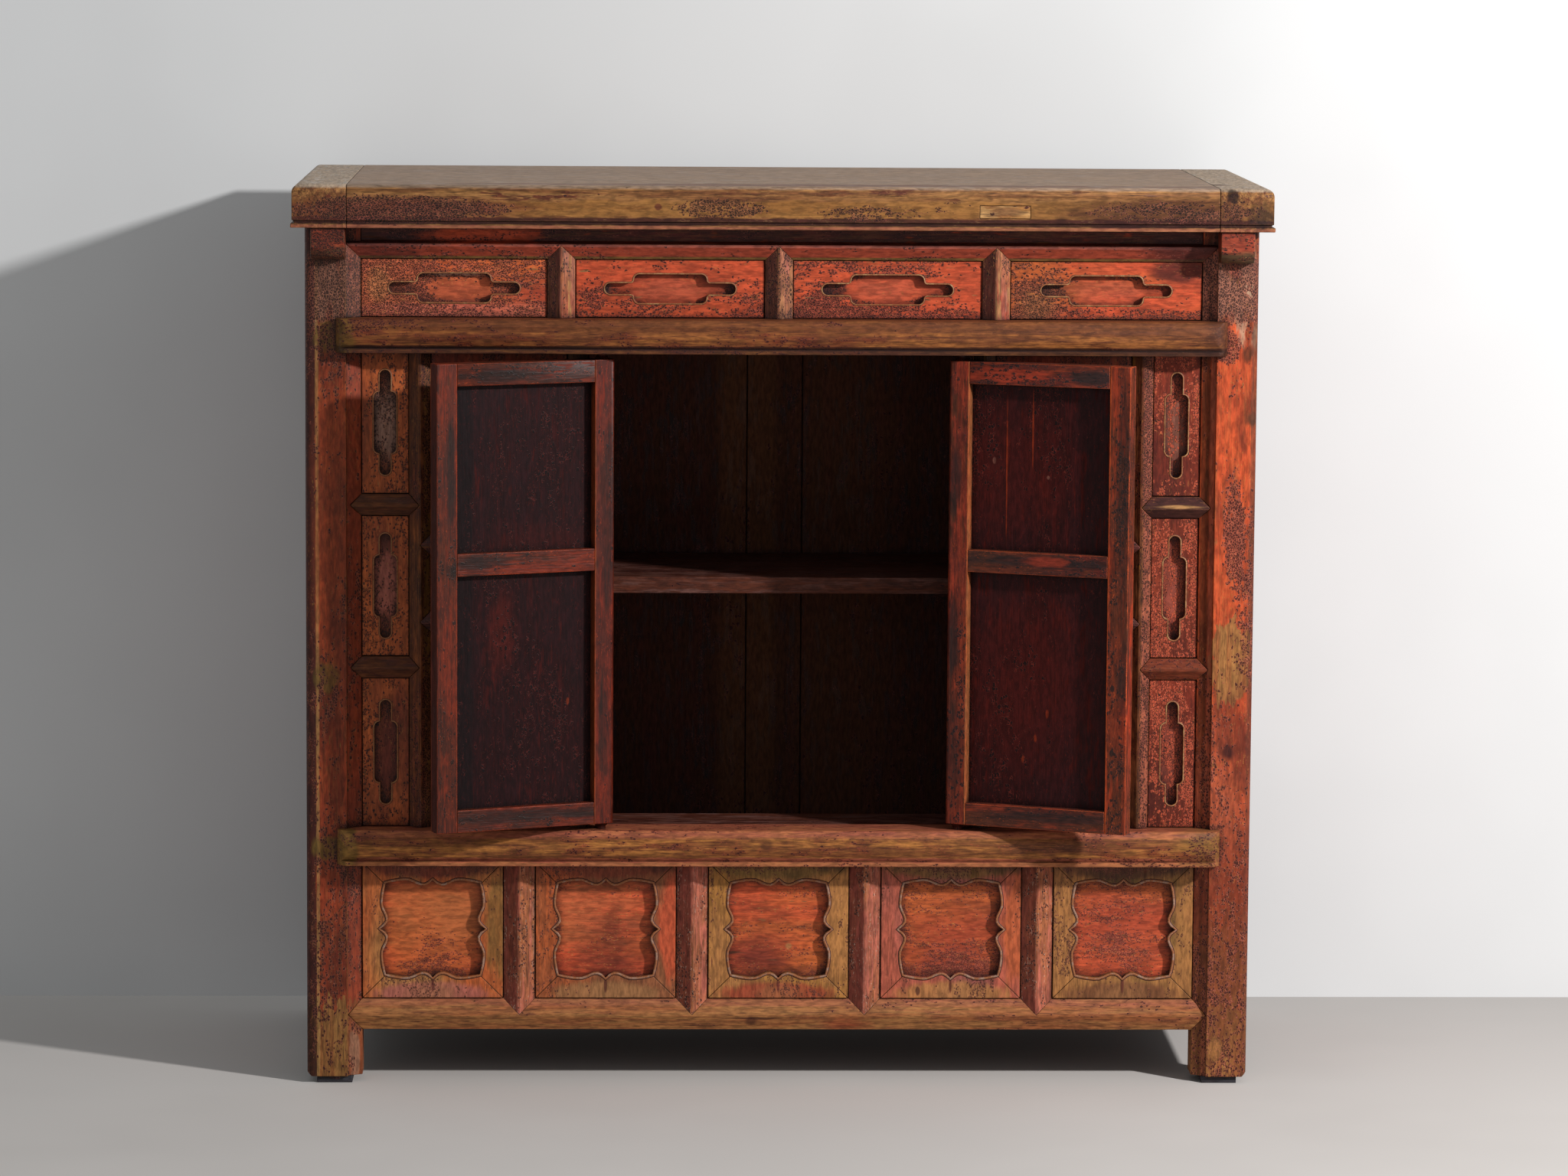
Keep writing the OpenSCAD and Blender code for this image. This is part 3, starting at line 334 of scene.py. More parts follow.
@dataclass(frozen=True)
class Finish:
    """A layered finish: wood, worn coat, dark craquelure, patches, worn edges, and soiling with
    painted shade in the corners.

    Attributes:
        wood: Light and dark shades of the wood.
        coat: Main and second shades of the coat over it.
        cover: Share of the wood that the coat hides, from 0 to 1.
        crackle: Share of the coat under dark islands, from 0 to 1.
        dark: Shade of the islands.
        cell: Width of an island in millimetres.
        grain: Which way the fibres run.
        streak: How strongly the fibres show in the coat.
        edge: Shade on the worn edges.
        wear: How strongly the edges are worn.
        dirt: How strongly corners, creases and joints are darkened, as soiling and as painted
            shade.
        gloss: Roughness of the coat.
        shine: Strength of the coat's reflections.
        vein: Shade of the cracks between the islands.
        veins: How strongly the cracks show.
        specks: How strongly small pale specks show.
        blend: How gradually the coat gives way to the wood.
        mottle: How strongly darker clouds show in the coat.
        tone: What the whole finish is multiplied by. On the doors it also paints the difference in
            their lighting as light and shade.
        patches: Local areas, from the lowest up.
    """

    wood: tuple[Shade, Shade] = (Shade.TAN, Shade.BROWN)
    coat: tuple[Shade, Shade] = (Shade.VERMILION, Shade.ORANGE)
    cover: float = 0.8
    crackle: float = 0.2
    dark: Shade = Shade.WINE
    cell: float = 3.0
    grain: Grain = Grain.ALONG
    streak: float = 0.3
    edge: Shade = Shade.OCHRE
    wear: float = 0.6
    dirt: float = 0.8
    gloss: float = 0.5
    shine: float = 0.2
    vein: Shade = Shade.ROSE
    veins: float = 0.35
    specks: float = 0.4
    blend: float = 0.035
    mottle: float = 0.3
    tone: tuple[float, float, float] = EVEN
    patches: tuple[Patch, ...] = ()

    def with_patches(self, *patches: Patch, **changes: object) -> "Finish":
        """Gives the same finish with more patches, and other changes."""
        return replace(self, patches=self.patches + patches, **changes)


class Painter(Brush):
    """Paints one finish, layer by layer, over noise fields that its layers share."""

    grit = 0.32
    """How far the colour varies from spot to spot, as a share."""

    def __init__(self, look: Finish, name: str, pivot_x: float, turn: float) -> None:
        """Makes the shared fields.

        Args:
            look: The finish.
            name: The material's name, which also moves its patterns.
            pivot_x: A door's pivot across the front.
            turn: Degrees back to a door's closed place.
        """
        super().__init__(name, pivot_x, turn)
        self.look = look
        self.seed = float(sum(ord(c) * (i + 1) for i, c in enumerate(name)) % 97)
        fibre = look.grain.value
        self.half = look.grain.milder(0.4)
        self.fine = self.noise(2.2, fibre, self.seed, 3.0)
        self.long = self.noise(9.0, fibre, self.seed + 1, 2.0, 0.6)
        self.spots = self.noise(9.0, self.half, self.seed + 2, 4.0)
        self.cloud = self.noise(70.0, self.half, self.seed + 3)
        self.rough = self.calc("SUBTRACT", self.spots, 0.5)
        self.thread = self.ramp(self.noise(1.2, fibre, self.seed + 8), 0.5, 0.68)
        self.nook = self.node("ShaderNodeAmbientOcclusion", None, 0.012,
                              samples=6).outputs["AO"]
        self.shares = {patch: self.inside(patch, self.rough) for patch in look.patches}

    def on(self, *layers: Layer) -> list[tuple[Patch, Socket]]:
        """Gives the patches that change some layers, each with its share."""
        return [(patch, share) for patch, share in self.shares.items() if patch.layer in layers]

    def ground(self) -> tuple[Socket, Socket]:
        """Paints the wood and the worn coat; gives the coat's cover, and the colour."""
        look = self.look
        wood = self.mix(self.ramp(self.long, 0.35, 0.68), *look.wood)
        wood = self.mix(self.ramp(self.fine, 0.5, 0.72, 0.0, 0.55), wood, look.wood[1])
        wood = self.mix(self.times(self.thread, 0.6), wood, look.dark)
        coat = self.mix(self.ramp(self.cloud, 0.38, 0.62), *look.coat)
        mottle = self.noise(20.0, self.half, self.seed + 5, 3.0)
        coat = self.mix(self.ramp(mottle, 0.45, 0.66, 0.0, look.mottle), coat, look.dark)
        coat = self.mix(self.ramp(self.fine, 0.42, 0.7, 0.0, look.streak), coat, look.wood[1])
        coat = self.mix(self.times(self.thread, look.streak), coat, look.dark)
        worn = self.times(self.fine, 0.35, self.times(self.spots, 0.65))
        for _, share in self.on(Layer.BARE):
            worn = self.times(share, -0.4, worn)
        limit = 0.5 + (0.5 - look.cover) * 0.36
        cover = self.ramp(worn, limit - look.blend, limit + look.blend)
        colour = self.mix(cover, wood, coat)
        for patch, share in self.on(Layer.TINT):
            colour = self.mix(share, colour, patch.shade)
        return cover, colour

    def craquelure(self, colour: Socket) -> tuple[Socket, Socket]:
        """Paints islands, cracks, specks and stains; gives the islands, and the colour."""
        look = self.look
        pick, edge = self.cells(look.cell, look.grain.milder(0.12), self.seed)
        dense = self.ramp(self.times(self.cloud, 0.5, self.times(self.spots, 0.5)),
                          0.36, 0.64, look.crackle - 0.45, look.crackle + 0.45)
        for patch, share in self.on(Layer.CRACKLE, Layer.CLEAN):
            dense = self.times(share, 1.1 if patch.layer is Layer.CRACKLE else -1.1, dense)
        dense = self.calc("ADD", dense, self.ramp(self.nook, 0.97, 0.6, 0.0, 0.35 * look.dirt))
        kept = self.ramp(self.calc("SUBTRACT", dense, pick), -0.02, 0.06)
        island = self.times(kept, self.ramp(edge, 0.03, 0.13))
        veined = self.times(kept, self.ramp(edge, 0.14, 0.04, 0.0, look.veins))
        colour = self.mix(veined, colour, look.vein)
        colour = self.mix(self.times(island, 0.92), colour, look.dark)
        crumbs = self.ramp(self.noise(1.1, self.half, self.seed + 6, 1.0), 0.62, 0.7, 0.0,
                           look.specks)
        colour = self.mix(self.times(crumbs, self.ramp(self.spots, 0.42, 0.6)), colour, look.edge)
        for patch, share in self.on(Layer.STAIN):
            colour = self.mix(share, colour, patch.shade)
        return island, colour

    def paint(self) -> bpy.types.Material:
        """Paints all layers, and gives the material."""
        look = self.look
        cover, colour = self.ground()
        island, colour = self.craquelure(colour)

        soft = self.node("ShaderNodeBevel", 0.0016, samples=4).outputs[0]
        flat = self.node("ShaderNodeNewGeometry").outputs["Normal"]
        bend = self.calc("SUBTRACT", 1.0, self.vector("DOT_PRODUCT", soft, flat))
        rubbed = self.times(self.ramp(bend, 0.015, 0.09, 0.0, look.wear),
                            self.ramp(self.spots, 0.36, 0.52))
        rubbed = self.times(rubbed, self.ramp(self.nook, 0.7, 0.95))
        colour = self.mix(rubbed, colour, look.edge)
        # Soiling and painted shade: darkens towards black where ambient occlusion finds surfaces
        # close by, in corners, creases, joints and under ledges.
        grime_and_shade = self.ramp(self.times(self.rough, 0.35, self.nook), 0.82, 0.4, 0.0, look.dirt)
        colour = self.mix(grime_and_shade, colour, Shade.BLACK)
        colour = self.vector("MULTIPLY", colour, look.tone)
        for patch, share in self.on(Layer.LACQUER):
            fresh = self.mix(self.times(self.thread, 0.5), patch.shade, Shade.RUST)
            fresh = self.mix(self.ramp(self.cloud, 0.4, 0.62), fresh, Shade.RUST)
            fresh = self.mix(self.times(island, 0.8), fresh, Shade.WINE)
            colour = self.mix(share, colour, self.mix(rubbed, fresh, Shade.OCHRE))
        gritty = self.ramp(self.noise(3.6, self.half, self.seed + 9, 4.0, 0.4), 0.3, 0.7,
                           1.0 - self.grit, 1.0 + self.grit)
        colour = self.vector("MULTIPLY", colour, gritty)

        height = self.times(island, 0.35, self.times(cover, 0.25))
        height = self.times(self.fine, 0.5, height)
        height = self.times(self.noise(28.0, self.half, self.seed + 4), 2.0, height)
        rough = self.ramp(self.calc("ADD", cover, self.times(self.spots, 0.5)), 0.1, 1.4,
                          look.gloss + 0.22, look.gloss)
        return self.gloss(colour, rough, look.shine, self.bump(0.9, 0.00035, height, soft))


def dress(obj: bpy.types.Object, material: bpy.types.Material) -> None:
    """Puts one material on a piece."""
    obj.data.materials.clear()
    obj.data.materials.append(material)


def soften(obj: bpy.types.Object, width: float) -> None:
    """Rounds a carcass piece's edges with live modifiers.

    Args:
        obj: The piece.
        width: Width of the rounding in millimetres; at zero the piece keeps its own edges.
    """
    if not width:
        return
    weld = obj.modifiers.new("weld", "WELD")
    weld.merge_threshold = 1e-6
    flat = obj.modifiers.new("flat", "DECIMATE")
    flat.decimate_type = "DISSOLVE"
    flat.angle_limit = math.radians(0.5)
    edge = obj.modifiers.new("edge", "BEVEL")
    edge.width = width / MM
    edge.segments = 2
    edge.limit_method = "ANGLE"
    edge.angle_limit = math.radians(28.0)
    edge.harden_normals = True


def ring(name: str, points: np.ndarray, material: bpy.types.Material) -> bpy.types.Object:
    """Makes a closed ring from a grid of points.

    Each cell of the grid is one four-sided face. The first way runs along the ring and the second
    round its profile. The piece's own map holds both ways from 0 to 1.

    Args:
        name: The piece's name.
        points: Rows by columns by three, in millimetres of the front's frame.
        material: Its finish.

    Returns:
        The piece, riding on nothing yet.
    """
    rows, cols = points.shape[:2]
    i, j = (a.ravel() for a in np.meshgrid(np.arange(rows), np.arange(cols), indexing="ij"))
    i1, j1 = (i + 1) % rows, (j + 1) % cols
    faces = np.stack([i * cols + j, i1 * cols + j, i1 * cols + j1, i * cols + j1], 1)
    verts = (points.reshape(-1, 3) - (0.0, MID_Y, 0.0)) / MM
    mesh = bpy.data.meshes.new(name)
    mesh.from_pydata(verts.tolist(), [], faces.tolist())
    layer = mesh.uv_layers.new(name="run")
    along = np.stack([i, i + 1, i + 1, i], 1) / rows
    across = np.stack([j, j, j + 1, j + 1], 1) / cols
    layer.data.foreach_set("uv", np.stack([along, across], 2).astype(np.float32).ravel())
    mesh.polygons.foreach_set("use_smooth", np.ones(len(faces), bool))
    mesh.update()
    obj = bpy.data.objects.new(name, mesh)
    bpy.context.scene.collection.objects.link(obj)
    dress(obj, material)
    return obj


def trim(path: np.ndarray, face_y: float, profile: tuple[tuple[float, float], ...]) -> np.ndarray:
    """Carries a profile round a closed outline on a face.

    At each point of the outline the profile stands on the outline's outward normal: its first
    number goes outwards from the outline, and its second stands out in front of the face.

    Args:
        path: Points of the outline, x and z, in the order that has the inside on the left.
        face_y: Depth of the face.
        profile: Points of the closed profile.

    Returns:
        A grid of points, the outline's length by the profile's.
    """
    ahead, behind = np.roll(path, -1, 0) - path, path - np.roll(path, 1, 0)
    tangent = sum(d / np.maximum(np.linalg.norm(d, axis=1, keepdims=True), 1e-9)
                  for d in (ahead, behind))
    tangent /= np.maximum(np.linalg.norm(tangent, axis=1, keepdims=True), 1e-9)
    outward = np.stack([tangent[:, 1], -tangent[:, 0]], 1)
    out, high = np.array(profile).T
    flat = path[:, None, :] + outward[:, None, :] * out[None, :, None]
    depth = np.broadcast_to(face_y - high[None, :, None], flat.shape[:2] + (1,))
    return np.concatenate([flat[..., :1], depth, flat[..., 1:]], 2)


def arc(x: float, z: float, r: float, a0: float, a1: float, steps: int = 8) -> np.ndarray:
    """Gives points on an arc round a middle, between two angles in degrees."""
    a = np.radians(np.linspace(a0, a1, steps + 1))
    return np.stack([x + r * np.cos(a), z + r * np.sin(a)], 1)


@dataclass(frozen=True)
class Cartouche:
    """A carved outline: a round-cornered block with an arm at each end.

    Attributes:
        length: Whole length over the arms.
        block: Length of the block.
        high: Height of the block.
        arm: Height of an arm, whose end is round.
        corner: Radius of the block's corners.
    """

    length: float
    block: float
    high: float
    arm: float = 13.0
    corner: float = 6.5

    def outline(self, x: float, z: float, upright: bool) -> np.ndarray:
        """Gives the outline's points, round its middle, with the inside on the left."""
        hollow = (self.high - self.arm) / 2 - self.corner
        tip = (self.length - self.arm) / 2
        quarter = np.concatenate([
            arc(tip, 0.0, self.arm / 2, 0, 90),
            arc(self.block / 2 + hollow, self.arm / 2 + hollow, hollow, 270, 180, 5),
            arc(self.block / 2 - self.corner, self.high / 2 - self.corner, self.corner, 0, 90)])
        top = np.concatenate([quarter, (quarter * (-1, 1))[::-1]])
        loop = np.concatenate([top, (top * (1, -1))[::-1][1:-1]])
        loop = loop[np.linalg.norm(loop - np.roll(loop, 1, 0), axis=1) > 1e-6]
        if upright:
            loop = np.stack([-loop[:, 1], loop[:, 0]], 1)
        return loop + (x, z)


@dataclass(frozen=True)
class Scallop:
    """The scalloped opening of a lower panel.

    Attributes:
        wide: Half width of the opening.
        tall: Half height of the opening.
        swell: Inward swell of the edge.
        side_cusp: Outward reach of the cusps in the upright edges.
        level_cusp: Outward reach of the cusps in the level edges.
        corner: How far the corners are drawn in.
        swell_at: Place of the swell between cusp and corner.
        lobe_at: Place of the lobe between cusp and corner.
    """

    wide: float = 57.0
    tall: float = 56.0
    swell: float = 6.0
    side_cusp: float = 3.0
    level_cusp: float = 0.5
    corner: float = 3.5
    swell_at: float = 0.2
    lobe_at: float = 0.55

    def edge(self, half: float, away: float, turn: float, tip: float) -> np.ndarray:
        """Gives one edge: a sharp cusp, a smooth swell and lobe, then a drawn-in corner."""
        i = np.arange(-12, 12) / 12.0
        u = np.abs(i)
        cusp = (self.swell + tip) * np.sin(np.pi / 2 * np.minimum(u / self.swell_at, 1)) ** 0.8
        lobe = self.swell * (1 + np.cos(np.pi * (u - self.swell_at)
                                        / (self.lobe_at - self.swell_at))) / 2
        end = self.corner * (1 - np.cos(np.pi / 2 * (u - self.lobe_at) / (1 - self.lobe_at)))
        drawn = np.where(u < self.swell_at, cusp - tip, np.where(u < self.lobe_at, lobe, end))
        s, d = i * (half - self.corner), away - drawn
        c, n = math.cos(math.radians(turn)), math.sin(math.radians(turn))
        return np.stack([s * c + d * n, s * n - d * c], 1)

    def outline(self, x: float, z: float) -> np.ndarray:
        """Gives the whole outline round its middle, with the inside on the left."""
        level = (self.wide, self.tall, self.level_cusp)
        upright = (self.tall, self.wide, self.side_cusp)
        return np.concatenate([
            self.edge(half, away, turn, tip)
            for turn, (half, away, tip) in zip((0, 90, 180, 270), (level, upright) * 2)]) + (x, z)


@dataclass(frozen=True)
class TrimFinish:
    """The finish of a fine trim, whose colour goes with its own map from edge to edge.

    Attributes:
        worn: Shade where the bead is rubbed.
        bead: Shade of the bead.
        line: Shade of the scribed line outside it.
    """

    worn: Shade
    bead: Shade = Shade.HONEY
    line: Shade = Shade.WINE

    def paint(self, name: str) -> bpy.types.Material:
        """Makes the material: a dark line, then a bead that is rubbed in places."""
        b = Brush(name)
        place = b.node("ShaderNodeTexCoord").outputs["UV"]
        across = b.node("ShaderNodeSeparateXYZ", place).outputs[1]
        rubbed = b.ramp(b.noise(7.0, seed=3.0, detail=3.0), 0.45, 0.65)
        bead = b.mix(b.times(rubbed, 0.6), self.bead, self.worn)
        grain = b.noise(1.6, seed=5.0)
        bead = b.mix(b.ramp(grain, 0.5, 0.7, 0.0, 0.6), bead, Shade.UMBER)
        colour = b.mix(b.ramp(across, 0.52, 0.60), bead, self.line)
        return b.gloss(colour, b.ramp(grain, 0.3, 0.7, 0.5, 0.7), 0.3,
                       b.bump(0.7, 0.0003, grain))


class Assembly:
    """A group of pieces that are made and dressed together."""

    def __init__(self, nodes: dict[str, bpy.types.Object]) -> None:
        """Keeps the carcass pieces by name."""
        self.nodes = nodes

    def finish(self, name: str, finish: Finish, width: float = 0.9, pivot_x: float = 0.0,
               turn: float = 0.0) -> None:
        """Softens and paints one carcass piece.

        Args:
            name: The piece's name.
            finish: Its finish.
            width: Rounding of its edges in millimetres.
            pivot_x: A door's pivot across the front.
            turn: Degrees back to a door's closed place.
        """
        obj = self.nodes[name]
        soften(obj, width)
        dress(obj, Painter(finish, "finish_" + name, pivot_x, turn).paint())
        LOG.info("dressed %s", name)

    def add(self, name: str, points: np.ndarray, material: bpy.types.Material,
            slot: str) -> None:
        """Makes one new ring that rides on the case.

        Args:
            name: The ring's name.
            points: Its grid of points.
            material: Its finish.
            slot: Its material slot in the record; not used.
        """
        obj = ring(name, points, material)
        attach(obj, "case")
        LOG.info("made %s", name)


S, L = Shade, Layer

SIDES = ("left", "right")

TIMBER = Finish(wood=(S.TAN, S.BROWN), coat=(S.BROWN, S.MAROON), cover=0.3, crackle=-0.3,
                dark=S.BLACK, cell=2.2, streak=0.5, edge=S.STRAW, wear=0.3, gloss=0.5,
                vein=S.ROSE, specks=0.15, tone=(1.0, 0.97, 0.88))
RAIL = Finish(wood=(S.OCHRE, S.BROWN), coat=(S.BROWN, S.RUST), cover=0.45, crackle=0.08,
              dark=S.WINE, cell=2.0, streak=0.6, edge=S.TAN, wear=0.5, blend=0.12,
              tone=(0.94, 0.8, 0.68))
RED = Finish(coat=(S.VERMILION, S.ORANGE), cover=0.93, crackle=0.12, dark=S.BLACK, cell=1.9,
             streak=0.2, edge=S.OCHRE, wear=0.4)
MAROON = Finish(wood=(S.BRICK, S.BROWN), coat=(S.MAROON, S.WINE), cover=0.75, crackle=0.25,
                dark=S.BLACK, cell=1.9, streak=0.3, edge=S.ROSE, wear=0.6)

RIM = ((-0.3, -1.2), (-0.3, 0.1), (0.0, 0.35), (0.5, 0.35), (0.8, 0.1), (1.5, 0.08), (1.6, -0.4),
       (0.8, -0.8))
"""Profile of the rims round the cartouches."""

BEAD = ((-0.3, -1.2), (-0.3, 0.3), (0.2, 0.7), (1.1, 0.8), (1.8, 0.5), (2.1, 0.1), (3.0, 0.08),
        (3.1, -0.4), (1.5, -0.8))
"""Profile of the beads round the scalloped openings."""


class Top(Assembly):
    """The top: a long board, two breadboard ends and the repair in the front edge."""

    def dress(self) -> None:
        """Paints the top's four pieces."""
        edge = (*L.TINT.marks(
                    (S.BROWN, 0, 988, FAR, 16, 0.5, 0.4, 0.25, -30, 24),
                    (S.GOLD, 0, 993.5, FAR, 9.5, 0.3, 0.8),
                    # The wine band over the groove is partly dark lacquer and partly painted shade
                    # of the groove.
                    (S.WINE, 0, 980.75, FAR, 4.25, 0.9, 0.8),
                    (S.ROSE, 0, 972.75, FAR, 2.75, 0.45, 0.5),
                    (S.MAROON, -434, 993, 140, 12, 0.8, 0.7, 0.5),
                    (S.WINE, 425, 992, 116, 13, 0.7, 0.7, 0.5)),
                *L.CRACKLE.marks(
                    (-436, 993, 144, 15, 1.15, 0.7, 0.4), (-67, 995, 54, 12, 1.1, 0.8, 0.4),
                    (97, 990, 66, 10, 0.9, 0.8, 0.4), (191, 998, 24, 8, 0.7, 0.8, 0.4),
                    (425, 994, 112, 14, 1.0, 0.7, 0.4)))
        board = TIMBER.with_patches(
            *L.TINT.marks((S.GREYED, 0, 1023.5, FAR, 6.5, 0.75, 0.3)), *edge,
            *L.STAIN.marks((S.MAROON, -140, 997, 4, 3.5, 0.8, 0.3)),
            *L.TINT.marks((S.MAROON, 80, 1020, 450, 6, 0.55, 0.8, 0.6, 6, 22)))
        self.finish("top_board", board, 1.2)
        cleat = replace(board, grain=Grain.DEEP).with_patches(
            *L.TINT.marks(
                (S.PALE, 0, 1023.5, FAR, 6.5, 0.5, 0.3),
                (S.SOOT, 534, 990, 14, 14, 0.6, 0.8, 0.5)),
            *L.STAIN.marks(
                (S.BLACK, 500, 1012, 7, 8, 0.85, 0.4, 0.25, -30, 14),
                (S.UMBER, 493, 1020, 12, 30, 0.7, 0.3, 0.25, 60, 14)))
        self.finish("top_cleat_left", replace(cleat, cover=0.35), 1.2)
        self.finish("top_cleat_right", cleat, 1.2)
        self.finish("top_patch", Finish(
            wood=(S.STRAW, S.OCHRE), coat=(S.OCHRE, S.BROWN), cover=0.4, crackle=0.0,
            streak=0.2, edge=S.UMBER, dirt=1.0,
            patches=L.TINT.marks((S.BROWN, 246, 993, 16, 6, 0.7, 0.8, 0.5))), 0.3)


class Legs(Assembly):
    """Four legs, their pads, and the blocks on the front legs under the top."""

    def dress(self) -> None:
        """Paints the legs, pads and blocks."""
        front = RED.with_patches(
            *L.BARE.marks((0, 40, FAR, 50, 0.9, 0.8)),
            *L.TINT.marks(
                (S.MAROON, 0, 904, FAR, 36, 0.75, 0.5), (S.PALE, 0, 900, FAR, 38, 0.55, 2.0, 0.4)),
            *L.CRACKLE.marks((0, 904, FAR, 36, 0.9, 0.7)),
            grain=Grain.UPRIGHT, crackle=0.2, vein=S.ROSE, veins=0.7, cell=2.4, dark=S.WINE,
            coat=(S.VERMILION, S.BRICK), wood=(S.TAN, S.HONEY), streak=0.35, mottle=0.55)
        left = front.with_patches(
            *L.TINT.marks(
                # The wine strip paints shade on the rounded outer corner, and the straw line beside
                # it paints a highlight. The olive patches at waist and sill height are partly
                # painted shadows of the rails' ends.
                (S.WINE, -529.25, 500, 6.75, FAR, 0.9, 0.3),
                (S.STRAW, -520.75, 500, 1.75, FAR, 0.5, 0.8),
                (S.RUST, -500, 640, 25, 150, 0.6, 0.9, 0.5),
                (S.OLIVE, -510, 850, 14, 18, 0.8, 0.6), (S.OLIVE, -510, 465, 14, 18, 0.7, 0.6),
                (S.OLIVE, -508, 270, 18, 14, 0.8, 0.6), (S.PALE, -481, 34, 5, 30, 0.6),
                (S.BRICK, -478.5, 500, 8.5, FAR, 0.5, 0.6)))
        right = front.with_patches(
            *L.TINT.marks(
                (S.UMBER, 531.75, 500, 4.25, FAR, 0.7, 0.5),
                # The rose line paints the arris's highlight, and the umber strip beside it paints
                # shade on the slope that faces away from the key light.
                (S.ROSE, 485, 500, 2.5, FAR, 0.5, 0.6), (S.UMBER, 477.5, 500, 4.5, FAR, 0.7, 0.4),
                (S.RUST, 503, 220, 40, 150, 0.7, 0.8, 0.6),
                (S.MAROON, 503, 250, 40, 80, 0.35, 1.5, 0.6),
                (S.BROWN, 503, 110, 40, 70, 0.6, 0.9, 0.6),
                (S.SALMON, 500, 330, 20, 60, 0.5, 0.9, 0.8),
                (S.MAROON, 516, 395, 22, 48, 0.6, 0.8, 0.6)),
            *L.CRACKLE.marks(
                (510, 240, 24, 100, 0.35, 0.9, 0.8), (520, 560, 12, 90, 0.4, 0.9, 0.8),
                (500, 400, 24, 110, 0.35, 0.9, 0.8), (500, 842, 14, 20, 0.9, 0.6),
                (509, 640, 10, 60, 0.9, 0.9, 0.6)),
            *L.BARE.marks((509, 487, 24, 44, 1.0, 0.8)),
            *L.STAIN.marks(
                (S.UMBER, 523, 833, 6, 8, 0.8, 0.8, 0.5),
                (S.UMBER, 528, 760, 6, 7, 0.9, 0.8, 0.5), (S.WINE, 508, 382, 6, 8, 0.9, 0.8, 0.5),
                (S.TAN, 498, 40, 8, 14, 0.6, 0.3)))
        self.finish("leg_front_left", replace(left, tone=(0.68, 0.66, 0.53)), 0.0)
        self.finish("leg_front_right", replace(right, tone=(0.96, 0.87, 0.71)), 0.0)
        back = replace(MAROON, grain=Grain.UPRIGHT, cover=0.8, blend=0.12)
        pads = Finish(wood=(S.PAD, S.SOOT), coat=(S.PAD, S.SOOT), cover=1.0, crackle=0.0,
                      streak=0.1, edge=S.ASH, wear=0.2, gloss=0.75, specks=0.2)
        self.finish("foot_pads", pads, 0.6)
        block = replace(MAROON, wood=(S.BRICK, S.RUST), coat=(S.BRICK, S.RUST), crackle=0.5,
                        edge=S.TAN, wear=0.8, vein=S.BRICK, veins=0.4, patches=L.TINT.marks(
                            # The soot band on the round underside is partly its dark paint and
                            # partly painted shade.
                            (S.SOOT, 0, 938, FAR, 10, 0.9, 0.3), (S.OLIVE, 0, 940, FAR, 9, 0.25)))
        for side in SIDES:
            self.finish(f"leg_back_{side}", back, 1.3)
            self.finish(f"cap_block_{side}", block, 1.0)


class Rails(Assembly):
    """The four long members between the front legs."""

    def dress(self) -> None:
        """Paints the rails."""
        self.finish("top_rail", MAROON.with_patches(
            # Partly painted shade: the rail stays dark maroon above the ridge, under the top's
            # overhang, and is tinted lighter brick below it.
            *L.TINT.marks(
                (S.BRICK, 0, 945, FAR, 6, 0.85, 0.6), (S.OLIVE, 0, 937.5, FAR, 1.5, 0.6, 0.6),
                (S.ROSE, 0, 951.5, FAR, 1.5, 0.4, 0.6),
                (S.BRIGHT, -340, 962, 62, 9, 0.8, 0.7, 0.4),
                (S.WINE, -445, 950, 40, 20, 0.6, 0.5, 0.5),
                (S.WINE, 450, 950, 42, 20, 0.8, 0.5, 0.5)),
            streak=0.7, crackle=0.1), 0.8)
        waist = RAIL.with_patches(
            *L.TINT.marks(
                (S.BROWN, 0, 865.5, FAR, 8.5, 0.7, 0.6), (S.WINE, 0, 838.5, FAR, 2.5, 0.75, 0.6),
                (S.OLIVE, -492, 850, 14, 30, 0.9, 0.4),
                (S.UMBER, 490, 850, 16, 30, 0.7, 0.8, 0.5)),
            *L.STAIN.marks((S.BLACK, 0, 833, FAR, 7, 0.6, 0.3)),
            wear=0.15, tone=(0.8, 0.62, 0.54))
        self.finish("waist_rail", waist, 0.9)
        sill = RAIL.with_patches(
            *L.TINT.marks(
                (S.ROSE, 0, 293, FAR, 7, 0.5, 0.7), (S.ROSE, 0, 257, FAR, 5, 0.7),
                (S.TAN, 0, 254, FAR, 4, 0.5), (S.OLIVE, -489, 272, 14, 30, 0.9, 0.4),
                (S.OLIVE, 484, 276, 26, 26, 0.6, 0.9, 0.6)),
            *L.CRACKLE.marks((484, 280, 26, 16, 0.5, 0.9, 0.6)),
            *L.STAIN.marks((S.UMBER, -15, 277, 7, 7, 0.7, 0.9, 0.5)),
            edge=S.SALMON, wear=0.5, dirt=0.3)
        self.finish("sill_rail", sill, 0.9)
        self.finish("bottom_rail", RAIL.with_patches(
            *L.STAIN.marks(
                (S.UMBER, -31, 71, 6, 6, 0.8, 0.9, 0.5), (S.WINE, -26, 74, 26, 1.2, 0.7, 0.8)),
            *L.TINT.marks(
                (S.BRICK, 76, 67, 24, 8, 0.5, 1.2, 0.6), (S.ROSE, 0, 93, FAR, 5, 0.3, 0.7)),
            wood=(S.TAN, S.HONEY), coat=(S.BROWN, S.ROSE), cover=0.3, crackle=0.05,
            tone=(1.0, 0.9, 0.82)), 0.9)


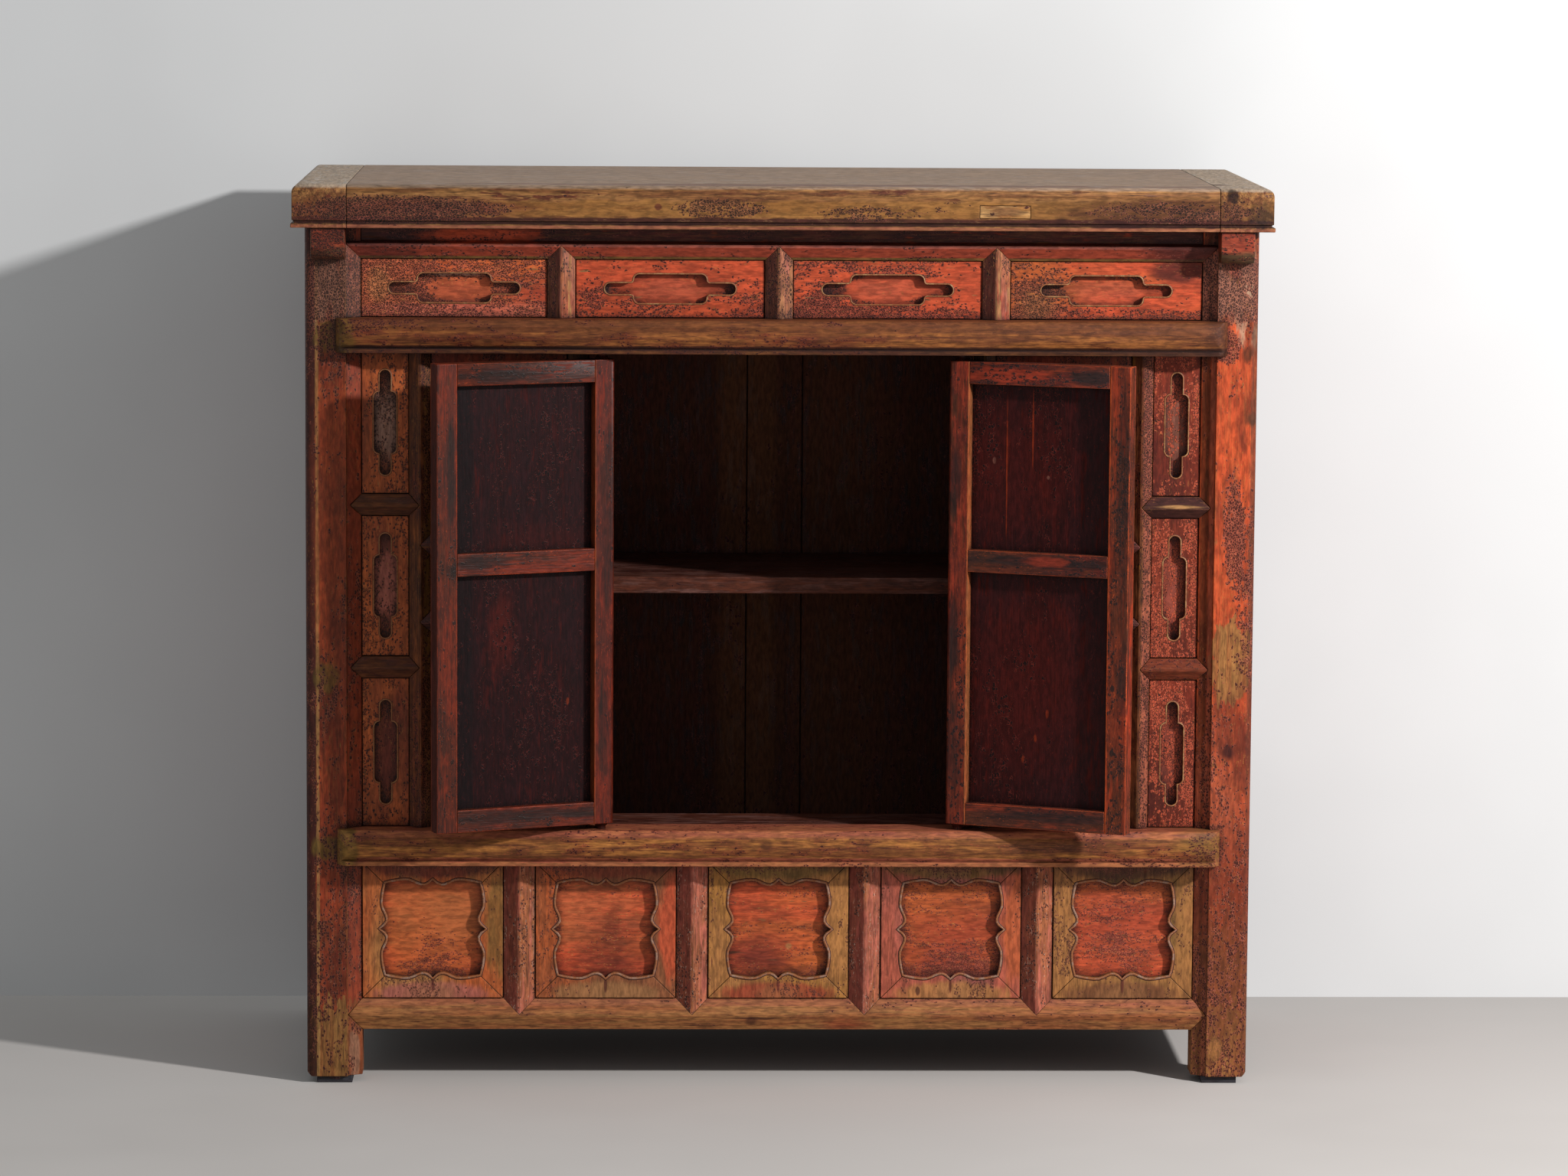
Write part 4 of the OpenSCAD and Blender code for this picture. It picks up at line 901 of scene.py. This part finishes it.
class UpperRow(Assembly):
    """The upper panels, their carvings' rims, and the muntins between them."""

    middles = (-367.625, -125.875, 117.875, 363.625)
    cut = Cartouche(147.0, 82.0, 33.0)
    height = 903.0

    def dress(self) -> None:
        """Paints the panels and muntins, and rims the carvings."""
        looks = (
            ((S.BRICK, S.ORANGE), 0.45, (
                *L.TINT.marks(
                    (S.OCHRE, -452, 906, 12, 18, 0.7, 0.6, 0.5),
                    (S.ROSE, -367, 878, 130, 9, 0.5, 0.6, 0.5),
                    (S.MAROON, -372, 900, 60, 18, 0.45, 0.5, 0.5, *CARVED),
                    (S.PALE, -372, 921, 36, 5, 0.6, 0.8, 0.5, *CARVED)),
                *L.CRACKLE.marks((-430, 900, 50, 40, 0.35, 0.8)))),
            ((S.BRIGHT, S.VERMILION), 0.0, (
                *L.CRACKLE.marks((-212, 900, 16, 20, 0.4, 0.8), (-40, 892, 24, 30, 0.3, 0.8)),
                *L.TINT.marks((S.ASH, -205, 903, 12, 8, 0.7, 0.5, 0.4, *CARVED)))),
            ((S.BRIGHT, S.VERMILION), 0.15, (
                *L.CRACKLE.marks((42, 884, 22, 16, 0.7, 0.7), (117, 876, 130, 9, 0.5, 0.8)),
                *L.TINT.marks(
                    (S.ROSE, 4.5, 500, 7.5, FAR, 0.6, 0.6),
                    (S.MAROON, 50, 903, 20, 8, 0.7, 0.5, 0.4, *CARVED)))),
            ((S.BRIGHT, S.ORANGE), 0.05, (
                *L.TINT.marks(
                    # The wine patch in the upper right corner is partly painted shadow of the cap
                    # block.
                    (S.WINE, 446, 926, 34, 13, 0.8, 0.3, 0.3),
                    (S.OCHRE, 285, 885, 18, 16, 0.5, 0.8, 0.5)),
                *L.CRACKLE.marks((290, 893, 30, 22, 0.35, 0.8), (363, 876, 130, 9, 0.35, 0.8)))),
        )
        rim = TrimFinish(S.STRAW).paint("finish_upper_rims")
        for i, (x, (coat, more, patches)) in enumerate(zip(self.middles, looks)):
            self.finish(f"upper_panel_{i + 1}", RED.with_patches(
                # The salmon ellipse on each carving's floor is partly a painted pool of light,
                # lighter in the middle of the floor than at its corners.
                *L.TINT.marks((S.SALMON, x, 902, 42, 15, 0.35, 0.9, 0.6, *CARVED)),
                *L.CLEAN.marks((x, 902, 42, 15, 0.9, 0.5, 0.5, *CARVED)),
                *patches, coat=coat, crackle=0.2 + more,
                tone=(0.9, 0.86, 0.88) if i else (1.5, 1.36, 1.34)), 0.7)
            path = self.cut.outline(x, self.height, False)
            self.add(f"upper_rim_{i + 1}", trim(path, PANEL_Y, RIM), rim, "red_lacquer")
        # Painted shade: dark strips over the muntins' left slopes, which face away from the key
        # light.
        shaded_slopes = L.TINT.marks(*((S.WINE, x - 9, 500, 8, FAR, 0.8, 0.4)
                                for x in (-247.75, -4, 239.75)))
        self.finish("upper_muntins", MAROON.with_patches(
            *shaded_slopes, wood=(S.TAN, S.ROSE), coat=(S.BRICK, S.HONEY), cover=0.6,
            grain=Grain.UPRIGHT, edge=S.TAN, wear=0.9, crackle=0.15, specks=0.7, streak=0.5), 0.9)


class Columns(Assembly):
    """The columns beside the legs: stiles, three panels each, carvings and cross rails."""

    cut = Cartouche(119.0, 70.0, 26.0)
    middle_x = 445.0
    stile_x = 405.0
    heights = (378.0, 567.0, 751.5)

    def dress(self) -> None:
        """Paints both columns and rims their carvings."""
        floors = L.TINT.marks(*((shade, 0, z, FAR, 44, 0.75, 0.3, 0.4, *CARVED)
                                for z, shade in ((378, S.MAROON), (567, S.ROSE), (751, S.ASH))))
        left = RED.with_patches(
            *floors, coat=(S.RUST, S.ORANGE), crackle=0.3, grain=Grain.UPRIGHT,
            vein=S.BRICK, veins=0.3)
        right = RED.with_patches(
            *(replace(f, shade=S.ROSE) for f in floors[:2]), floors[2],
            *L.TINT.marks(
                (S.VERMILION, 445, 440, 60, 24, 0.35, 0.9, 0.5),
                (S.WINE, 445, 370, 60, 90, 0.45, 0.9, 0.5),
                (S.BRICK, 445, 760, 60, 75, 0.3, 0.9, 0.5)),
            coat=(S.WINE, S.RUST), crackle=0.45, grain=Grain.UPRIGHT, dark=S.SALMON,
            vein=S.BLACK, veins=1.0, specks=0.5, mottle=0.1, cell=2.3, streak=0.1,
            tone=(0.84, 0.62, 0.54))
        for side, way, panel in (("left", -1, left), ("right", 1, right)):
            self.finish(f"column_panels_{side}", panel, 0.7)
            x = way * self.stile_x
            self.finish(f"column_stile_{side}", RAIL.with_patches(
                *L.TINT.marks(
                    (S.GOLD if way > 0 else S.UMBER, x - 11, 500, 2, FAR, 0.7, 0.8),
                    (S.ROSE if way > 0 else S.OLIVE, x + 9, 500, 5, FAR, 0.5, 0.6)),
                *L.CRACKLE.marks((x + 8, 500, 6, FAR, 0.6, 0.6)),
                grain=Grain.UPRIGHT, wood=(S.HONEY, S.BROWN), coat=(S.UMBER, S.MAROON),
                cover=0.65, edge=S.GOLD, wear=0.7, dark=S.BLACK), 0.8)
            self.finish(f"column_rails_{side}", RAIL.with_patches(
                *L.TINT.marks(
                    (S.PLUM, 450, 659, 60, 16, 0.75, 0.6), (S.RUST, 450, 475, 60, 16, 0.6, 0.6),
                    # The straw line paints the highlight along the upper cross rail's ridge.
                    (S.STRAW, 450, 660, 22, 1.6, 0.7, 0.9, 0.5)),
                wood=(S.BROWN, S.UMBER), coat=(S.UMBER, S.MAROON), cover=0.5,
                edge=S.TAN if way > 0 else S.OLIVE, wear=0.8), 0.8)
            rim = TrimFinish(S.STRAW if way > 0 else S.TAN).paint(f"finish_column_rims_{side}")
            for i, z in enumerate(self.heights):
                path = self.cut.outline(way * self.middle_x, z, True)
                self.add(f"column_rim_{side}_{i + 1}", trim(path, PANEL_Y, RIM), rim,
                         "red_lacquer")


class Bays(Assembly):
    """The fixed parts behind the folded doors."""

    def dress(self) -> None:
        """Paints jambs, rails and panels."""
        for side in SIDES:
            self.finish(f"jamb_{side}", replace(
                RAIL, grain=Grain.UPRIGHT, coat=(S.UMBER, S.MAROON), cover=0.6, edge=S.GOLD), 0.8)
            self.finish(f"bay_panels_{side}", replace(
                RED, coat=(S.BRICK, S.RUST), grain=Grain.UPRIGHT, crackle=0.3), 0.6)
            self.finish(f"bay_rails_{side}", MAROON, 0.8)


class LowerRow(Assembly):
    """Borders, fields and muntins under the doorway, and the bead round each opening."""

    cut = Scallop()
    middles = (-392.0, -196.0, 0.0, 196.0, 392.0)
    height = 176.0
    face = 11.0

    def dress(self) -> None:
        """Paints the row and lays the beads."""
        looks = (
            ((S.ORANGE, S.OCHRE), S.OLIVE, S.ROSE, S.MAROON, (0.96, 0.94, 1.0)),
            ((S.HONEY, S.ORANGE), S.BRIGHT, S.TAN, S.RUST, (0.9, 0.86, 0.94)),
            ((S.OCHRE, S.GOLD), S.OCHRE, S.BRICK, S.OLIVE, (0.96, 0.9, 0.98)),
            ((S.SALMON, S.ROSE), S.ORANGE, S.OCHRE, S.OLIVE, (0.88, 0.82, 0.9)),
            ((S.OCHRE, S.OLIVE), S.OCHRE, S.BROWN, S.UMBER, (0.88, 0.82, 0.87)),
        )
        extras = {3: L.STAIN.marks((S.WINE, 159, 105, 2.5, 5, 0.8, 0.5)),
                  4: L.CRACKLE.marks((324, 180, 16, 70, 0.5, 0.6))}
        bead = TrimFinish(S.GREYED).paint("finish_beads")
        for i, (x, (sides, right, foot, head_and_shade, tone)) in enumerate(zip(self.middles, looks)):
            self.finish(f"lower_border_{i + 1}", Finish(
                wood=(S.HONEY, S.BROWN), coat=sides, cover=0.85, crackle=0.1, dark=S.UMBER,
                cell=1.6, grain=Grain.UPRIGHT, streak=0.4, edge=S.TAN, wear=0.5,
                tone=tone, patches=(
                    *L.TINT.marks(
                        (right, x + 76, 180, 16, 62, 0.7, 0.5), (foot, x, 101, 62, 14, 0.85, 0.4),
                        # The fourth colour of each row darkens the border's top strip under the
                        # sill rail: partly its paint, partly painted shade of the sill's shadow.
                        (S.TAN, x, 101, 24, 14, 0.4, 0.9, 0.6), (head_and_shade, x, 249, 76, 15, 0.8, 0.3),
                        (S.BLACK, x + 60, 252, 22, 10, 0.6, 0.9, 0.6)),
                    *L.CRACKLE.marks((x, 254, 84, 10, 0.7, 0.9, 0.6)),
                    *L.STAIN.marks((S.MAROON, x, 112, 1.6, 9, 0.8, 0.5)),
                    *extras.get(i, ()))), 0.6)
            path = self.cut.outline(x, self.height)
            self.add(f"scallop_bead_{i + 1}", trim(path, self.face, BEAD), bead, "ochre_lacquer")
        self.finish("lower_fields", RED.with_patches(
            *L.TINT.marks(
                (S.ORANGE, -392, 178, 64, 64, 0.7, 0.3, 0.4),
                (S.TAN, -300, 195, 150, 40, 0.3, 0.9, 0.6),
                (S.MAROON, -188, 150, 34, 36, 0.5, 0.9, 0.8),
                (S.WINE, -186, 172, 12, 26, 0.4, 0.9, 0.8),
                (S.MAROON, -22, 140, 34, 30, 0.7, 0.7, 0.8),
                (S.TAN, 12, 154, 3.5, 3.5, 0.7, 0.8, 0.4),
                (S.BRICK, 196, 150, 50, 44, 0.8, 0.8, 0.8),
                (S.BRICK, 382, 176, 46, 46, 0.7, 0.9, 0.8)),
            *L.CRACKLE.marks(
                (-384, 142, 34, 24, 0.6, 0.7, 0.8), (209, 134, 40, 24, 0.4, 0.8, 0.7),
                (390, 166, 56, 50, 0.45, 0.8, 0.7)),
            coat=(S.BRIGHT, S.ORANGE), crackle=0.1, streak=0.35, cell=1.6, dark=S.MAROON,
            specks=0.6, mottle=0.45), 0.5)
        # Painted shade: dark strips over the muntins' left slopes, which face away from the key
        # light.
        shaded_slopes = L.TINT.marks(*((S.MAROON, x - 9.5, 500, 8.5, FAR, 0.75, 0.4)
                                for x in (-294, -98, 98, 294)))
        self.finish("lower_muntins", MAROON.with_patches(
            *shaded_slopes, *L.TINT.marks((S.PALE, -268, 170, 9, 90, 0.3, 0.9, 0.4)),
            coat=(S.ROSE, S.HONEY), wood=(S.ROSE, S.BROWN), cover=0.6,
            grain=Grain.UPRIGHT, edge=S.GREYED, wear=0.9, crackle=0.06, specks=0.8,
            streak=0.5, blend=0.08, tone=(1.2, 1.06, 0.98)), 0.9)


class Doors(Assembly):
    """The two doors, seen from inside, folded back against the case."""

    pivot_x = 202.0
    open_turn = 157.5
    outer = (-8.0, 2.6)
    """Middle and half depth of a patch that lies only on the closed doors' outer faces."""

    def dress(self) -> None:
        """Paints both doors, with patterns that lie in each door's own plane."""
        frame = Finish(wood=(S.RUST, S.UMBER), coat=(S.UMBER, S.MAROON), cover=0.6, crackle=0.15,
                       dark=S.SOOT, cell=3.0, streak=0.5, edge=S.ORANGE, wear=1.0, gloss=0.42,
                       veins=0.1, specks=0.4, mottle=0.6)
        panel = Finish(wood=(S.MAROON, S.PLUM), coat=(S.PLUM, S.WINE), cover=0.7, crackle=0.02,
                       dark=S.SOOT, streak=0.5, edge=S.BRICK, wear=0.3, gloss=0.42, specks=0.25,
                       grain=Grain.UPRIGHT, shine=0.1)
        upright = replace(frame, grain=Grain.UPRIGHT)
        dark, clean = S.SOOT, S.BRICK
        # The three numbers in each key multiply that piece's finish. They differ between the doors
        # mainly because of their lighting, so they paint light and shade into the doors' colours.
        looks = {
            ("left", "hinge_stile", (0.72, 0.35, 0.24)): upright.with_patches(
                *L.TINT.marks((S.BLACK, -206, 650, 8, 100, 0.5)),
                *L.STAIN.marks(
                    (dark, -200, 420, 6, 60, 0.6, 0.9, 0.6),
                    (S.TAN, -190.25, 500, 1.25, FAR, 0.4)),
                coat=(S.RUST, S.UMBER)),
            ("left", "free_stile", (0.76, 0.42, 0.24)): upright.with_patches(
                *L.STAIN.marks(
                    (dark, -18, 705, 5, 62, 0.85, 0.9, 0.4),
                    (dark, -22, 595, 9, 9, 0.85, 0.9, 0.4),
                    (S.PLUM, -0.75, 500, 1.75, FAR, 0.8, 0.2)),
                coat=(S.RUST, S.UMBER)),
            ("left", "rails", (0.74, 0.42, 0.28)): frame.with_patches(
                *L.STAIN.marks(
                    (dark, -70, 811, 52, 7, 0.85, 0.9, 0.4),
                    (dark, -50, 602, 30, 8, 0.8, 0.9, 0.4),
                    (dark, -110, 315, 90, 7, 0.8, 0.9, 0.4)),
                coat=(S.RUST, S.UMBER)),
            ("left", "panels", (0.36, 0.22, 0.23)): panel.with_patches(
                *L.TINT.marks(
                    (S.BRICK, -83, 521, 14, 40, 0.3, 0.9, 0.6),
                    (S.SOOT, -34, 500, 14, FAR, 0.7, 0.6),
                    (S.MAROON, -140, 620, 60, 20, 0.5, 0.9, 0.6)),
                *L.CRACKLE.marks((-140, 440, 30, 40, 0.12)),
                *L.STAIN.marks((S.ORANGE, -162.6, 440, 1.5, 4, 0.6))),
            ("right", "hinge_stile", (0.96, 0.7, 0.62)): upright.with_patches(
                *L.STAIN.marks(
                    (S.TAN, 190.25, 500, 1.25, FAR, 0.5), (dark, 206, 690, 7, 30, 0.7, 0.9, 0.4),
                    (dark, 207, 517, 7, 40, 0.8, 0.9, 0.4),
                    (dark, 205, 380, 8, 60, 0.6, 0.9, 0.6)),
                coat=(S.BRICK, S.RUST)),
            ("right", "free_stile", (1.4, 0.9, 0.68)): upright.with_patches(
                *L.STAIN.marks(
                    (S.ORANGE, 24.5, 500, 1, FAR, 0.4), (dark, 8, 700, 7, 115, 0.6, 0.9, 0.5),
                    (dark, 6, 470, 6, 50, 0.7, 0.9, 0.6), (dark, 17.7, 465, 2.5, 4, 0.9, 0.4),
                    (dark, 17.7, 392, 2.5, 4, 0.9, 0.4)),
                coat=(S.BRICK, S.UMBER)),
            ("right", "rails", (1.08, 0.8, 0.7)): frame.with_patches(
                *L.TINT.marks((clean, 150, 811, 50, 8)),
                *L.STAIN.marks(
                    (dark, 43, 811, 30, 8, 0.85, 0.9, 0.4),
                    (dark, 100, 603, 90, 6, 0.8, 0.9, 0.4),
                    (clean, 98, 603, 26, 5, 0.6, 0.9, 0.4), (dark, 80, 315, 70, 6, 0.7, 0.9, 0.4))),
            ("right", "panels", (0.61, 0.32, 0.29)): panel.with_patches(
                *L.STAIN.marks(
                    (S.ORANGE, 149, 701, 0.9, 74, 0.5, 0.5),
                    (S.ORANGE, 118.6, 752, 0.9, 40, 0.5, 0.5),
                    (S.GREYED, 164, 714, 2, 4, 0.5, 0.8), (S.GREYED, 100, 697, 1.5, 2, 0.6, 0.6),
                    (S.ORANGE, 98, 430, 2, 5, 0.4), (S.ORANGE, 112, 402, 2, 5, 0.4),
                    (S.ORANGE, 126, 378, 2, 5, 0.4)),
                *L.TINT.marks(
                    (S.MAROON, 140, 700, 60, 70, 0.5, 0.8, 0.6),
                    (S.MAROON, 120, 460, 70, 90, 0.6, 0.9, 0.7))),
        }
        outside = L.LACQUER.marks((S.BRICK, 0, 560, FAR, FAR, 0.95, 0.2, 0.25, *self.outer))
        for (side, part, tone), look in looks.items():
            way = -1 if side == "left" else 1
            self.finish(f"door_{side}_{part}", look.with_patches(*outside, tone=tone), 0.7,
                        way * self.pivot_x, -way * self.open_turn)


class Carcass(Assembly):
    """Everything inside and behind: shelf, ledge, boards, bearers, sides and back."""

    def dress(self) -> None:
        """Paints the hidden and half-hidden pieces."""
        # Painted shade: the woods inside are made very dark, partly for their old colour and partly
        # for the shade inside the case; the shelf and ledge are darkened further.
        inner_shaded = Finish(wood=(S.INNER_SHADED, S.INNER_DEEP_SHADE), coat=(S.INNER_DEEP_SHADE, S.BLACK), cover=0.4,
                       crackle=0.0, streak=0.5, edge=S.BROWN, wear=0.3, gloss=0.6)
        board = replace(inner_shaded, wood=(S.ASH, S.BROWN), coat=(S.BROWN, S.UMBER), cover=0.5,
                        tone=(0.55, 0.34, 0.34))
        for name in ("shelf", "shelf_bearers", "ledge", "ledge_bearers", "bottom_boards",
                     "bottom_battens"):
            self.finish(name, board if name in ("shelf", "ledge") else inner_shaded, 0.8)
        self.finish("back_boards", inner_shaded.with_patches(
            *L.TINT.marks(
                (S.BROWN, -29, 500, 33, FAR, 0.6, 0.2),
                (S.BROWN, 80, 520, 60, 500, 0.3, 0.9, 0.6)),
            grain=Grain.UPRIGHT, wood=(S.UMBER, S.INNER_SHADED)), 0.6)
        self.finish("back_rails", inner_shaded, 0.8)
        for side in SIDES:
            self.finish(f"side_rails_{side}", replace(MAROON, grain=Grain.DEEP, blend=0.1), 0.9)
            self.finish(f"side_panels_{side}", replace(
                RED, coat=(S.BRICK, S.RUST), grain=Grain.UPRIGHT, crackle=0.3), 0.6)


@dataclass(frozen=True)
class PhotoCamera:
    """The camera that was fitted to the photograph.

    Attributes:
        position: Place of the lens in metres, with y = 0 at the legs' front faces.
        yaw: Turn to the right in radians.
        pitch: Tilt down in radians.
        roll: Lean of the frame in radians.
        focal_px: Focal length in pixels of the frame.
        frame_px: Width of the frame in pixels.
        sensor: Width of the sensor in millimetres.
    """

    position: tuple[float, float, float] = (-0.18283, -6.3554, 1.34275)
    yaw: float = 0.0293
    pitch: float = 0.1213
    roll: float = 0.0067
    focal_px: float = 7434.76
    frame_px: float = 2048.0
    sensor: float = 36.0

    def build(self) -> None:
        """Makes the scene's camera."""
        data = bpy.data.cameras.new("photo_camera")
        data.sensor_width = self.sensor
        data.lens = self.focal_px * self.sensor / self.frame_px
        data.clip_start, data.clip_end = 0.1, 60.0
        cam = bpy.data.objects.new("photo_camera", data)
        forward = Vector((math.sin(self.yaw) * math.cos(self.pitch),
                          math.cos(self.yaw) * math.cos(self.pitch),
                          -math.sin(self.pitch)))
        level = Vector((math.cos(self.yaw), -math.sin(self.yaw), 0.0))
        upright = level.cross(forward)
        right = level * math.cos(self.roll) + upright * math.sin(self.roll)
        up = upright * math.cos(self.roll) - level * math.sin(self.roll)
        turn = Matrix((right, up, -forward)).transposed()
        place = Vector(self.position) - Vector((0.0, MID_Y / MM, 0.0))
        cam.matrix_world = Matrix.Translation(place) @ turn.to_4x4()
        bpy.context.scene.collection.objects.link(cam)
        bpy.context.scene.camera = cam


@dataclass(frozen=True)
class Room:
    """Floor, backdrop, key light and fill.

    Attributes:
        wall_y: Depth of the backdrop in metres behind the middle of the piece.
        key_at: Place of the key light.
        aim_at: Where it points.
        key_size: Width of the key light.
        key_power: Power of the key light in watts.
        fill: Strength of the even light from all round.
        sky: Brightness that the camera sees past the floor and backdrop.
        tint: Colour of the even light.
        reach: How far the floor and backdrop go to each side.
        height: Height of the backdrop.
        floor_shade: Colour of the floor in linear light.
        wall_shade: Colour of the backdrop in linear light.
    """

    wall_y: float = 0.336
    key_at: tuple[float, float, float] = (2.5, -2.1, 2.05)
    aim_at: tuple[float, float, float] = (0.0, 0.0, 0.5)
    key_size: float = 0.2
    key_power: float = 125.0
    fill: float = 0.33
    sky: float = 0.8
    tint: tuple[float, float, float, float] = (0.94, 1.0, 1.03, 1.0)
    reach: float = 6.0
    height: float = 4.0
    floor_shade: tuple[float, float, float] = (0.62, 0.58, 0.55)
    wall_shade: tuple[float, float, float] = (0.76, 0.76, 0.76)

    def build(self) -> None:
        """Makes the room."""
        scene = bpy.context.scene
        scene.view_settings.view_transform = "Standard"
        scene.world = bpy.data.worlds.new("room")
        scene.world.use_nodes = True
        nodes, links = scene.world.node_tree.nodes, scene.world.node_tree.links
        rays = nodes.new("ShaderNodeLightPath")
        seen = rays.outputs["Is Camera Ray"]
        for key in ("Is Glossy Ray", "Is Transmission Ray"):
            most = nodes.new("ShaderNodeMath")
            most.operation = "MAXIMUM"
            links.new(seen, most.inputs[0])
            links.new(rays.outputs[key], most.inputs[1])
            seen = most.outputs[0]
        strength = nodes.new("ShaderNodeMapRange")
        links.new(seen, strength.inputs["Value"])
        for key, level in (("To Min", self.fill), ("To Max", self.sky)):
            strength.inputs[key].default_value = level
        light = nodes["Background"]
        links.new(strength.outputs[0], light.inputs["Strength"])
        light.inputs["Color"].default_value = self.tint

        data = bpy.data.lights.new("key", "AREA")
        data.shape = "DISK"
        data.energy = self.key_power
        data.size = self.key_size
        lamp = bpy.data.objects.new("key", data)
        place = Vector(self.key_at)
        aim = (Vector(self.aim_at) - place).to_track_quat("-Z", "Y")
        lamp.matrix_world = Matrix.Translation(place) @ aim.to_matrix().to_4x4()
        scene.collection.objects.link(lamp)

        r, y, top = self.reach, self.wall_y, self.height
        floor = self.plane("floor", ((-r, -r, 0), (r, -r, 0), (r, r, 0), (-r, r, 0)),
                           self.floor_shade)
        wall = self.plane("backdrop", ((-r, y, 0), (r, y, 0), (r, y, top), (-r, y, top)),
                          self.wall_shade, one_sided=True)
        for ray in ("diffuse", "glossy", "transmission", "shadow"):
            setattr(wall, f"visible_{ray}", False)

    @staticmethod
    def plane(name: str, corners: tuple, shade: tuple[float, float, float],
              one_sided: bool = False) -> bpy.types.Object:
        """Makes a staged plane with a faintly mottled matt surface.

        Args:
            name: The plane's name.
            corners: Its corners in metres.
            shade: Its colour in linear light.
            one_sided: Whether it is clear when seen from behind.

        Returns:
            The plane.
        """
        mesh = bpy.data.meshes.new(name)
        mesh.from_pydata(corners, [], [(0, 1, 2, 3)])
        obj = bpy.data.objects.new(name, mesh)
        bpy.context.scene.collection.objects.link(obj)
        b = Brush("matt_" + name)
        colour = b.mix(b.ramp(b.noise(600.0, seed=2.0, detail=3.0), 0.35, 0.65),
                       *(tuple(c * level for c in shade) + (1.0,) for level in (0.97, 1.03)))
        surface = b.node("ShaderNodeBsdfDiffuse", colour).outputs[0]
        if one_sided:
            back = b.node("ShaderNodeNewGeometry").outputs["Backfacing"]
            clear = b.node("ShaderNodeBsdfTransparent").outputs[0]
            surface = b.node("ShaderNodeMixShader", back, surface, clear).outputs[0]
        dress(obj, b.close(surface))
        return obj


def main() -> None:
    """Builds the whole scene."""
    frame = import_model()
    PhotoCamera().build()
    Room().build()
    for group in (Top, Legs, Rails, UpperRow, Columns, Bays, LowerRow, Doors, Carcass):
        group(frame["nodes"]).dress()


if __name__ == "__main__":
    logging.basicConfig(level=logging.INFO)
    main()
